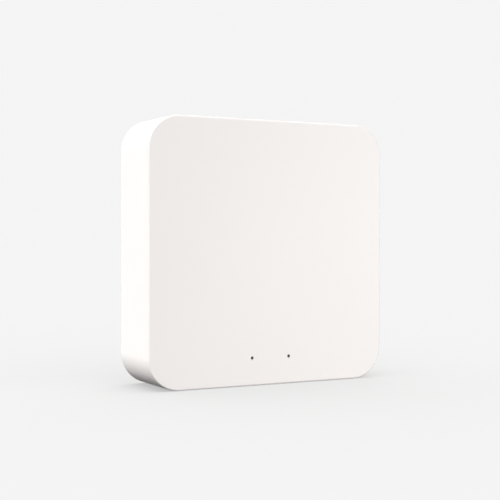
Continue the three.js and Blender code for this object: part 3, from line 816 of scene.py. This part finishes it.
def front_shell():
    shell = case_skin()
    posts, holes = case_posts()
    join(shell, *case_ribs(), *posts)
    usb_middle = (USB_LOW + USB_HIGH) / 2
    button_middle = (BUTTON_LOW + BUTTON_HIGH) / 2
    well = rect_hole_top(
        USB_WELL_W, USB_WELL_H, usb_middle.x, usb_middle.y, USB_WELL_R, USB_WELL_DEEP, 10, USB_WELL_EDGE_R
    )
    reset_hole = mouth_cutter(
        lambda grow: circle_outline(RESET_R + RESET_CLEAR + grow, 64),
        lambda outline, z: in_z(outline, button_middle.x, button_middle.y, z),
        Z_TOP,
        -1,
        WALL + OVER,
    )
    pinholes = [
        round_hole(PINHOLE_R, x, z, Y_FACE, 1, FACE_T + OVER, PINHOLE_EDGE_R) for x, z in LIGHT_PLACES
    ]
    cut(shell, *holes, well, reset_hole, wall_hole(CAN_LOW, CAN_HIGH, JACK_CLEAR), *pinholes)
    cut(shell, wall_hole(USB_LOW, USB_HIGH, USB_CLEAR))
    dress(shell, "case_plastic", "front_cover")


# -------- rear cover


def cover_ring(inset, y):
    return case_ring(WALL + COVER_GAP + inset, y)


def plate_cutter(width, height, radius, x, z, deep, edge_r):
    """A cutter for a rounded rectangular hole or recess in the rear cover's outer face."""
    return mouth_cutter(
        lambda grow: rounded_outline(width + 2 * grow, height + 2 * grow, radius + grow, 8),
        lambda outline, y: in_y(outline, x, z, y),
        Y_COVER,
        -1,
        deep,
        edge_r,
    )


def vent_cutters():
    cutters = []
    for side in (-1, 1):
        for i in range(VENTS):
            x = (i - (VENTS - 1) / 2) * VENT_PITCH
            z = MID_Z + side * VENT_OFFSET
            cutters.append(plate_cutter(VENT_W, VENT_L, VENT_END_R, x, z, PLATE_T + OVER, VENT_EDGE_R))
    return cutters


def rear_plate():
    """A plate with a lip round it, a cup for each case screw, and seats for the feet and the label."""
    y_in = Y_COVER - PLATE_T
    y_floor = COVER_LOW.y + CUP_FLOOR
    y_seat = Y_COVER - FOOT_SEAT
    profile = [(LIP_T + COVER_FLAT_IN, y_in), (LIP_T, y_in), (LIP_T, y_in - LIP_H), (0, y_in - LIP_H)]
    profile += [(run, Y_COVER - COVER_EDGE_R + rise) for run, rise in quarter(COVER_EDGE_R)]
    profile.append((COVER_FLAT_IN, Y_COVER))
    plate = loft("rear_plate", [cover_ring(inset, y) for inset, y in profile])
    join(plate, *rods_y(CUP_R, CORNER_PLACES, COVER_LOW.y, y_in + OVER))
    label_w, _, label_h = LABEL_HIGH - LABEL_LOW + Vector((2, 0, 2)) * LABEL_MARGIN
    label_seat = plate_cutter(label_w, label_h, LABEL_R, 0, MID_Z, LABEL_SEAT, LABEL_SEAT_EDGE_R)
    foot_seats = [
        round_hole(FOOT_R + 2 * GAP, x, z, Y_COVER, -1, FOOT_SEAT, steps=64) for x, z in CORNER_PLACES
    ]
    cut(plate, label_seat, *vent_cutters(), *foot_seats)
    cut(plate, *rods_y(CUP_HEAD_R, CORNER_PLACES, y_floor, y_seat + OVER))
    cut(plate, *rods_y(CUP_SHANK_R, CORNER_PLACES, COVER_LOW.y - OVER, y_floor + OVER))
    dress(plate, "case_plastic", "rear_cover")


def label_ring(inset, y):
    width, _, height = LABEL_HIGH - LABEL_LOW - Vector((2, 0, 2)) * inset
    return in_y(rounded_outline(width, height, LABEL_R - LABEL_MARGIN - inset, 8), 0, MID_Z, y)


def label():
    y_edge = LABEL_HIGH.y - LABEL_EDGE_R
    rings = [label_ring(0, LABEL_LOW.y)]
    rings += [label_ring(run, y_edge + rise) for run, rise in quarter(LABEL_EDGE_R)]
    dress(loft("label_sheet", rings), "label_film", "rating_label")


def foot(index):
    node = f"foot_{index}"
    low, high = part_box(node)
    middle = (low + high) / 2
    profile = [(FOOT_R, low.y)]
    profile += [(FOOT_R - run, high.y - FOOT_EDGE_R + rise) for run, rise in quarter(FOOT_EDGE_R, 6)]
    piece = turned_y(f"rubber_foot_{index}", profile, middle.x, middle.z)
    dress(piece, "foot_rubber", node)


# -------- network jack


def can_ring(width, depth, y_low, radius, steps, z):
    """A ring of the can, or of its hollow, whose wall next to the face is at y_low."""
    return in_z(rounded_outline(width, depth, radius, steps), JACK_MIDDLE.x, y_low + depth / 2, z)


def can_hollow():
    """The inside of the can, which is open upwards and towards the board."""
    width = CAN_HIGH.x - CAN_LOW.x - 2 * CAN_T
    depth = CAN_HIGH.y - CAN_LOW.y - CAN_T + OVER
    levels = [(CAN_LOW.z + CAN_T, 0)]
    levels += [(CAN_HIGH.z - CAN_RIM_R + rise, run) for run, rise in quarter(CAN_RIM_R)]
    levels.append((CAN_HIGH.z + OVER, CAN_RIM_R))
    radius = CAN_FOLD_R - CAN_T
    y_low = CAN_LOW.y + CAN_T
    rings = [
        can_ring(width + 2 * grow, depth + 2 * grow, y_low - grow, radius, 5, z) for z, grow in levels
    ]
    return loft("hollow", rings)


def side_slot(y_low, y_high, z_low, z_high):
    """A cutter through both sides of the can."""
    return box((CAN_LOW.x - OVER, y_low, z_low), (CAN_HIGH.x + OVER, y_high, z_high))


def jack_can():
    """Folded steel, open towards the board, with a spring finger cut into each side wall."""
    width = CAN_HIGH.x - CAN_LOW.x
    depth = CAN_HIGH.y - CAN_LOW.y + OVER
    levels = [(CAN_LOW.z, 0)]
    levels += [(CAN_HIGH.z - CAN_RIM_R + rise, run) for run, rise in quarter(CAN_RIM_R)]
    rings = [
        can_ring(width - 2 * run, depth - 2 * run, CAN_LOW.y + run, CAN_FOLD_R, 6, z) for z, run in levels
    ]
    can = loft("jack_can", rings)
    cut(can, can_hollow())
    cut(can, side_slot(CAN_HIGH.y, CAN_HIGH.y + 3 * OVER, CAN_LOW.z - OVER, CAN_HIGH.z + OVER))
    y_low, y_high = JACK_MIDDLE.y - FINGER_W / 2, JACK_MIDDLE.y + FINGER_W / 2
    z_low, z_high = JACK_MIDDLE.z - FINGER_L / 2, JACK_MIDDLE.z + FINGER_L / 2
    cut(can, *(side_slot(y, y + FINGER_SLOT, z_low, z_high) for y in (y_low - FINGER_SLOT, y_high)))
    cut(can, side_slot(y_low - FINGER_SLOT, y_high + FINGER_SLOT, z_low - FINGER_SLOT, z_low))
    dress(can, "socket_steel", "lan_jack_shield")


def keyhole(grow):
    """The mouth of the jack: the plug's rectangle, and two steps towards the board for its latch."""
    roof = PLUG_ROOF_Y - grow
    corners = [(-PLUG_W / 2 - grow, roof), (PLUG_W / 2 + grow, roof)]
    steps = [
        (PLUG_W / 2, PLUG_FLOOR_Y),
        (LATCH_W / 2, PLUG_FLOOR_Y + LATCH_STEP),
        (CATCH_W / 2, PLUG_FLOOR_Y + LATCH_H),
    ]
    right = []
    for i, (half, level) in enumerate(steps):
        if i > 0:
            right.append((half + grow, steps[i - 1][1] + grow))
        right.append((half + grow, level + grow))
    return corners + right + [(-x, y) for x, y in reversed(right)]


def contact_x(i):
    return JACK_MIDDLE.x + (i - (CONTACTS - 1) / 2) * CONTACT_PITCH


def jack_insert():
    """Black plastic, with the plug's hollow, its latch steps, and a comb of slots along the roof."""
    middle = (INSERT_LOW + INSERT_HIGH) / 2
    size = INSERT_HIGH - INSERT_LOW
    top = INSERT_HIGH.z
    rings = [
        in_z(rounded_outline(size.x - 2 * inset, size.y - 2 * inset, INSERT_R, 4), middle.x, middle.y, z)
        for z, inset in [(INSERT_LOW.z, 0), (top - INSERT_EDGE, 0), (top, INSERT_EDGE)]
    ]
    body = loft("jack_insert", rings)
    levels = [(PLUG_END, 0), (top - INSERT_MOUTH, 0), (top, INSERT_MOUTH), (top + OVER, INSERT_MOUTH)]
    hollow_rings = [in_z(soften(keyhole(grow), KEYHOLE_R), middle.x, 0, z) for z, grow in levels]
    cut(body, loft("hollow", hollow_rings))
    latch = box(
        (middle.x - LATCH_W / 2, PLUG_FLOOR_Y - OVER, PLUG_END),
        (middle.x + LATCH_W / 2, PLUG_FLOOR_Y + LATCH_H, top - CATCH_T),
    )
    cut(body, latch)
    half = CONTACT_T / 2 + GAP
    slots = []
    for i in range(CONTACTS):
        low = (contact_x(i) - half, PLUG_ROOF_Y - SLOT_H, PLUG_END - CONTACT_ROOT - GAP)
        high = (contact_x(i) + half, PLUG_ROOF_Y + OVER, CAN_HIGH.z - OVER)
        slots.append(box(low, high))
    cut(body, *slots)
    dress(body, "socket_plastic", "lan_jack_insert")


def contact(i):
    """A spring wire out of the end wall, along its slot, and back down into the hollow."""
    y_slot = PLUG_ROOF_Y - SLOT_H / 2
    points = [Vector((contact_x(i), y_slot + drop, PLUG_END + along)) for along, drop in CONTACT_ROUTE]
    section = rounded_outline(CONTACT_T, CONTACT_T, CONTACT_EDGE_R, 2)
    wire = strip(f"jack_contact_{i + 1}", smooth_path(points), X_AXIS, section)
    dress(wire, "contact_gold", f"lan_contact_{i + 1}")


# -------- power socket


def usb_outline(inset):
    """Across the socket: a rectangle, whose corners next to the board are cut off."""
    half = (USB_HIGH.x - USB_LOW.x) / 2 - inset
    shoulder = USB_HIGH.y - USB_SHOULDER - inset / 2
    y_wide = USB_LOW.y + inset
    y_narrow = USB_HIGH.y - inset
    narrow = half - USB_CUT
    corners = [(-half, y_wide), (half, y_wide), (half, shoulder), (narrow, y_narrow)]
    corners += [(-narrow, y_narrow), (-half, shoulder)]
    return soften(corners, USB_FOLD_R)


def usb_ring(inset, z):
    return in_z(usb_outline(inset), (USB_LOW.x + USB_HIGH.x) / 2, 0, z)


def usb_socket():
    """A folded shell with a slightly flared mouth."""
    top = USB_HIGH.z
    flare = [(top - below, grow) for below, grow in USB_FLARE]
    shell = loft("usb_socket", [usb_ring(-grow, z) for z, grow in [(USB_LOW.z, 0), *flare]])
    hollow = [(USB_LOW.z - OVER, 0), *flare[:-1], (top, USB_FLARE_IN), (top + OVER, USB_FLARE_IN)]
    cut(shell, loft("hollow", [usb_ring(USB_T - grow, z) for z, grow in hollow]))
    dress(shell, "socket_steel", "usb_shell")


def usb_core():
    """The block at the back of the socket with its tongue, and five gold pads on the tongue."""
    middle_x = (USB_LOW.x + USB_HIGH.x) / 2
    root_top = TONGUE_LOW.z + USB_ROOT
    core = loft("usb_core", [usb_ring(USB_T + USB_ROOT_GAP, z) for z in (TONGUE_LOW.z, root_top)])
    y_tongue = (USB_LOW.y + USB_HIGH.y) / 2 - USB_TONGUE_OFF - USB_TONGUE_T / 2
    levels = [(root_top - OVER, 0), (TONGUE_HIGH.z - USB_TONGUE_EDGE, 0), (TONGUE_HIGH.z, USB_TONGUE_EDGE)]
    rings = []
    for z, run in levels:
        outline = rounded_outline(USB_TONGUE_W - run, USB_TONGUE_T - run, USB_TONGUE_R, 3)
        rings.append(in_z(outline, middle_x, y_tongue, z))
    join(core, loft("tongue", rings))
    dress(core, "socket_plastic", "usb_tongue")
    pads = []
    y_pad = y_tongue + USB_TONGUE_T / 2
    for i in range(USB_PADS):
        x = middle_x + (i - (USB_PADS - 1) / 2) * USB_PAD_PITCH
        low = (x - USB_PAD_W / 2, y_pad - USB_PAD_SUNK, root_top - USB_PAD_IN_ROOT)
        high = (x + USB_PAD_W / 2, y_pad + USB_PAD_PROUD, TONGUE_HIGH.z - USB_PAD_BELOW_TIP)
        pads.append(box(low, high))
    dress(gather(pads, "usb_pads"), "contact_gold")


# -------- reset button


def button():
    """A dished cap, the flange that stops it behind the wall, and the stem that rests on the switch."""
    middle = (BUTTON_LOW + BUTTON_HIGH) / 2
    flange_r = (BUTTON_HIGH.x - BUTTON_LOW.x) / 2
    flange_top = Z_TOP - WALL - GAP
    flange_low = flange_top - RESET_FLANGE_H
    top = BUTTON_HIGH.z
    profile = [(RESET_STEM_R, BUTTON_LOW.z), (RESET_STEM_R, flange_low), (flange_r, flange_low)]
    profile += [(flange_r, flange_top), (RESET_R, flange_top)]
    profile += [(RESET_R - run, top - RESET_EDGE_R + rise) for run, rise in quarter(RESET_EDGE_R, 6)]
    dish_r = RESET_R - RESET_EDGE_R
    for i in range(1, DISH_STEPS):
        out = 1 - i / DISH_STEPS
        profile.append((dish_r * out, top - RESET_DISH * (1 - out**2)))
    cap = turned_z("button_cap", profile, middle.x, middle.y)
    dress(cap, "button_plastic", "reset_button", body="reset_button")


# -------- screws


def screw(name, node, head_h, shank_r, pitch):
    """A pan head with a cross recess on the rear side, and a threaded shank towards the face."""
    low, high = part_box(node)
    middle = (low + high) / 2
    head_r = (high.x - low.x) / 2
    neck = high.y - head_h
    profile = [(shank_r * SCREW_TIP, low.y), (shank_r * THREAD_ROOT, low.y + shank_r)]
    turns = int((neck - low.y - shank_r - pitch / 2) / pitch)
    for k in range(turns):
        y = low.y + shank_r + k * pitch
        profile += [(shank_r * out, y + along * pitch) for out, along in THREAD]
    profile += [(shank_r, neck), (head_r, neck), (head_r, neck + head_h * (1 - DOME))]
    for i in range(1, DOME_STEPS + 1):
        angle = i / DOME_STEPS * math.pi / 2
        out = head_r * (1 - DOME + DOME * math.cos(angle))
        profile.append((out, neck + head_h * (1 - DOME + DOME * math.sin(angle))))
    piece = turned_y(name, profile, middle.x, middle.z, 32)
    y_floor = high.y - head_h / 2
    thick, long = head_r * RECESS_W / 2, head_r * RECESS_L / 2
    for half_x, half_z in ((thick, long), (long, thick)):
        recess_low = (middle.x - half_x, y_floor, middle.z - half_z)
        recess_high = (middle.x + half_x, high.y + OVER, middle.z + half_z)
        cut(piece, box(recess_low, recess_high))
    dress(piece, "screw_steel", node)


# -------- circuit board


def board():
    """Cut away at its corners for the screw cups, with a bare gold ring round each screw hole."""
    half = (BOARD_HIGH.x - BOARD_LOW.x) / 2
    low, high = BOARD_LOW.z, BOARD_HIGH.z
    reach = CUP_R + 4 * GAP
    notch_x = SCREW_OFFSET - reach
    notch_low = MID_Z - SCREW_OFFSET + reach
    notch_high = MID_Z + SCREW_OFFSET - reach
    right = [(notch_x, low), (notch_x, notch_low), (half, notch_low)]
    right += [(half, notch_high), (notch_x, notch_high), (notch_x, high)]
    outline = soften(right + [(-x, z) for x, z in reversed(right)], BOARD_CORNER_R)
    plate = loft("board_plate", [in_y(outline, 0, 0, y) for y in (BOARD_LOW.y, BOARD_HIGH.y)])
    y_from, y_to = BOARD_LOW.y - OVER, BOARD_HIGH.y + OVER
    cut(plate, *rods_y(BOARD_HOLE_R, BOARD_PLACES, y_from, y_to, 32))
    dress(plate, "circuit_board", "main_board")
    y_plated = BOARD_LOW.y - PLATING, BOARD_HIGH.y + PLATING
    discs = gather(rods_y(PAD_R, BOARD_PLACES, *y_plated, 40), "screw_pads")
    cut(discs, *rods_y(BOARD_HOLE_R, BOARD_PLACES, y_from, y_to, 32))
    cut(discs, box((-half, BOARD_LOW.y, low), (half, BOARD_HIGH.y, high)))
    dress(discs, "contact_gold")


def passives():
    """Rows of small resistors and capacitors around the processor, with tinned ends."""
    bodies = []
    ends = []
    for x, z, step_x, step_z, count in PASSIVE_ROWS:
        length, width = (X_AXIS, Z_AXIS) if step_x == 0 else (Z_AXIS, X_AXIS)
        half = (PASSIVE_L * length + PASSIVE_W * width + Vector((0, PASSIVE_H, 0))) / 2
        inward = (1 - PASSIVE_END) / 2 * PASSIVE_L * length
        end_half = half - inward + PASSIVE_TIN * Vector((1, 1, 1))
        for i in range(count):
            middle = Vector((x + i * step_x, Y_PARTS - PASSIVE_H / 2, z + i * step_z))
            bodies.append(box(middle - half, middle + half))
            for end_middle in (middle - inward, middle + inward):
                ends.append(box(end_middle - end_half, end_middle + end_half))
    dress(gather(bodies, "chip_resistors"), "chip_plastic")
    dress(gather(ends, "resistor_ends"), "component_steel")


def chip(node):
    """A moulded package with a dimple by its first lead."""
    low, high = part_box(node)
    body = block_y(f"{node}_body", low, high, CHIP_R, CHIP_EDGE_R)
    x, z = low.x + DIMPLE_IN, high.z - DIMPLE_IN
    cut(body, rod_y(DIMPLE_R, x, z, low.y - OVER, low.y + DIMPLE_DEEP, 24))
    dress(body, "chip_plastic", node)


def leads(node, count, pitch, along, out, width):
    """Gull-wing leads from the two sides of a chip that face along the axis out, in rows along the other."""
    low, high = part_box(node)
    middle = (low + high) / 2
    half = abs((high - low).dot(out)) / 2
    w, t = width / 2, LEAD_T / 2
    section = [(-w, -t), (w, -t), (w, t), (-w, t)]
    drop = high.y - t - middle.y
    route = [(-LEAD_IN, 0), (LEAD_BEND, 0), (LEAD_DOWN, drop), (LEAD_REACH, drop)]
    parts = []
    for side in (-1, 1):
        for i in range(count):
            start = middle + along * (i - (count - 1) / 2) * pitch
            path = [start + out * side * (half + reach) + Vector((0, fall, 0)) for reach, fall in route]
            parts.append(strip("lead", path, along, section))
    dress(gather(parts, f"{node}_leads_{'x' if out.x else 'z'}"), "component_steel")


def capacitor(node):
    """An aluminium can with a crimp low on its side, on a black base with cut corners."""
    low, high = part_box(node)
    middle = (low + high) / 2
    y_base = high.y - CAP_BASE_H
    can_r = (high.x - low.x) / 2 - CAP_IN
    crimp = y_base - CAP_CRIMP_UP
    profile = [(can_r, y_base + CAP_SUNK), (can_r, crimp + CAP_CRIMP_H)]
    profile += [(can_r - CAP_CRIMP_DEEP, crimp), (can_r, crimp - CAP_CRIMP_H)]
    profile += [(can_r - run, low.y + CAP_EDGE_R - rise) for run, rise in quarter(CAP_EDGE_R, 5)]
    profile.append((can_r * NEAR_AXIS, low.y))
    dress(turned_y(f"{node}_can", profile, middle.x, middle.z, 48), "capacitor_can", node)
    base_low = Vector((low.x, y_base, low.z))
    base = block_y(f"{node}_base", base_low, high, CAP_BASE_R, CAP_BASE_EDGE_R)
    dress(base, "socket_plastic")


def shield(node, slot, corner_r, edge_r, holes):
    """A rounded metal or ferrite block, with a grid of shallow holes if asked for."""
    low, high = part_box(node)
    middle = (low + high) / 2
    body = block_y(f"{node}_body", low, high, corner_r, edge_r)
    steps = [(i - (holes - 1) / 2) * SHIELD_PITCH for i in range(holes)]
    cutters = [
        rod_y(SHIELD_HOLE_R, middle.x + x, middle.z + z, low.y - OVER, low.y + SHIELD_HOLE, 20)
        for x in steps
        for z in steps
    ]
    if cutters:
        cut(body, *cutters)
    dress(body, slot, node)


def light(side):
    """A near-black rod from the light to the pinhole, in a foam sleeve. Its dark tint is painted shade that
    makes the pinholes read dark.
    """
    low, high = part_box(f"light_guide_{side}")
    middle = (low + high) / 2
    shoulder = Y_FACE_IN + SHOULDER_GAP
    profile = [(GUIDE_R, high.y), (GUIDE_R, shoulder + SHOULDER_SLOPE), (GUIDE_TIP_R, shoulder)]
    profile += [(GUIDE_TIP_R, low.y + TIP_EDGE), (GUIDE_TIP_R * TIP_FLAT, low.y)]
    profile.append((GUIDE_TIP_R * NEAR_AXIS, low.y))
    rod = turned_y(f"guide_rod_{side}", profile, middle.x, middle.z, 32)
    dress(rod, "light_guide", f"light_guide_{side}")
    low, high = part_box(f"light_shade_{side}")
    sleeve = rod_y((high.x - low.x) / 2, middle.x, middle.z, low.y, high.y)
    cut(sleeve, rod_y(SHADE_IN_R, middle.x, middle.z, low.y - OVER, high.y + OVER))
    sleeve.name = f"foam_sleeve_{side}"
    dress(sleeve, "shade_rubber", f"light_shade_{side}")


def soften_edges(node):
    """Small bevels on a CAD node that is shown as it is."""
    modifier = NODES[node].modifiers.new("edges", "BEVEL")
    modifier.width = CAD_BEVEL
    modifier.segments = 2


# -------- assembly

dress_cad_nodes()
front_shell()
rear_plate()
label()
for index in range(1, 5):
    foot(index)
jack_can()
jack_insert()
for index in range(CONTACTS):
    contact(index)
usb_socket()
usb_core()
button()
for index in range(1, 5):
    screw(f"long_screw_{index}", f"case_screw_{index}", *CASE_SCREW)
    screw(f"short_screw_{index}", f"board_screw_{index}", *BOARD_SCREW)
board()
passives()
for node in dict.fromkeys(row[0] for row in LEADS):
    chip(node)
for row in LEADS:
    leads(*row)
for index in (1, 2):
    capacitor(f"power_capacitor_{index}")
for row in SHIELDS:
    shield(*row)
for side in ("left", "right"):
    light(side)
for node in ("reset_switch_body", "antenna", "status_led_left", "status_led_right", "radio_board"):
    soften_edges(node)

# -------- camera, floor and light

MIDDLE = Vector((0, 0, MID_Z))
CAMERA_YAW = 28.063  # degrees
CAMERA_PITCH = 0.802
CAMERA_ROLL = -0.105
CAMERA_DISTANCE = 4.092 * CASE_SIDE
CAMERA_TARGET = Vector((-0.0895 * CASE_SIDE, Y_FACE, 0.5099 * CASE_SIDE))
CAMERA_LENS = 78.8
HORIZON = 0.91
ZENITH = 0.12
SKY_FADE = (0.24, 0.42)  # heights on the sphere, where the sky starts and stops to dim
SKY_END = -0.03  # the height below which it is dark
UNDERFLOOR = 0.04
FLOOR_SIZE = 60
FLOOR_GLOW = 0.45
FLOOR_ALBEDO = (0.31, 0.31, 0.31)


def camera():
    """The view of the face from its left, at mid height, through a long lens."""
    yaw, pitch, roll = (math.radians(v) for v in (CAMERA_YAW, CAMERA_PITCH, CAMERA_ROLL))
    look = Vector((math.sin(yaw) * math.cos(pitch), math.cos(yaw) * math.cos(pitch), -math.sin(pitch)))
    data = bpy.data.cameras.new("camera")
    data.sensor_width = 36
    data.lens = CAMERA_LENS
    data.clip_start = 0.01
    cam = add_object("camera", data)
    place = Matrix.Translation(CAMERA_TARGET - look * CAMERA_DISTANCE)
    turn = look.to_track_quat("-Z", "Y").to_matrix().to_4x4()
    cam.matrix_world = place @ turn @ Matrix.Rotation(-roll, 4, "Z")
    bpy.context.scene.camera = cam


def floor():
    """A pale floor that glows a little, which keeps shadows on it light. It lights nothing from below."""
    n = Nodes("floor", Roughness=0.9, Emission_Color=(1, 1, 1, 1), Emission_Strength=FLOOR_GLOW)
    n.shader.inputs["Specular IOR Level"].default_value = 0
    n.wear(FLOOR_ALBEDO)
    bpy.ops.mesh.primitive_plane_add(size=FLOOR_SIZE)
    plane = bpy.context.object
    plane.name = "floor"
    plane.data.materials.append(n.material)
    plane.visible_diffuse = False
    return plane


def sky():
    """Pale near the horizon, dimmer higher up, and dark below the floor."""
    world = bpy.data.worlds.new("studio")
    bpy.context.scene.world = world
    world.use_nodes = True
    tree = world.node_tree
    add = tree.nodes.new
    link = tree.links.new
    place = add("ShaderNodeTexCoord")
    split = add("ShaderNodeSeparateXYZ")
    link(place.outputs["Generated"], split.inputs[0])
    ramp = add("ShaderNodeMapRange")
    numbers = {"From Min": SKY_FADE[0], "From Max": SKY_FADE[1], "To Min": HORIZON, "To Max": ZENITH}
    for key, number in numbers.items():
        ramp.inputs[key].default_value = number
    link(split.outputs["Z"], ramp.inputs["Value"])
    above = add("ShaderNodeMath")
    above.operation = "GREATER_THAN"
    above.inputs[1].default_value = SKY_END
    link(split.outputs["Z"], above.inputs[0])
    strength = add("ShaderNodeMix")
    link(above.outputs[0], strength.inputs["Factor"])
    strength.inputs["A"].default_value = UNDERFLOOR
    link(ramp.outputs["Result"], strength.inputs["B"])
    link(strength.outputs["Result"], tree.nodes["Background"].inputs["Strength"])
    tree.nodes["Background"].inputs["Color"].default_value = (1, 1, 1, 1)


def lamp(name, kind, place, energy, ground_state, **settings):
    """A light on the hub that leaves out the floor, or with the state INCLUDE falls on the floor alone."""
    data = bpy.data.lights.new(name, kind)
    data.energy = energy
    for key, value in settings.items():
        setattr(data, key, value)
    source = add_object(name, data)
    source.location = place
    source.rotation_mode = "QUATERNION"
    source.rotation_quaternion = (MIDDLE - Vector(place)).to_track_quat("-Z", "Y")
    receivers = bpy.data.collections.new(name + "_receivers")
    receivers.objects.link(ground)
    receivers.collection_objects[0].light_linking.link_state = ground_state
    source.light_linking.receiver_collection = receivers


camera()
ground = floor()
sky()
lamp("key", "SUN", (-0.88, -0.12, 0.83), 3.97, "EXCLUDE", angle=math.radians(20))
lamp("back", "SUN", (0.35, 0.85, 0.08), 2.5, "EXCLUDE", angle=math.radians(60))
lamp("fill", "AREA", (0.48, -0.78, 0.05), 5.75, "EXCLUDE", shape="RECTANGLE", size=0.4, size_y=0.09)
lamp("overhead", "SUN", (0, 0, 1), 4.0, "INCLUDE", angle=math.radians(150))
bpy.context.scene.view_settings.view_transform = "Standard"
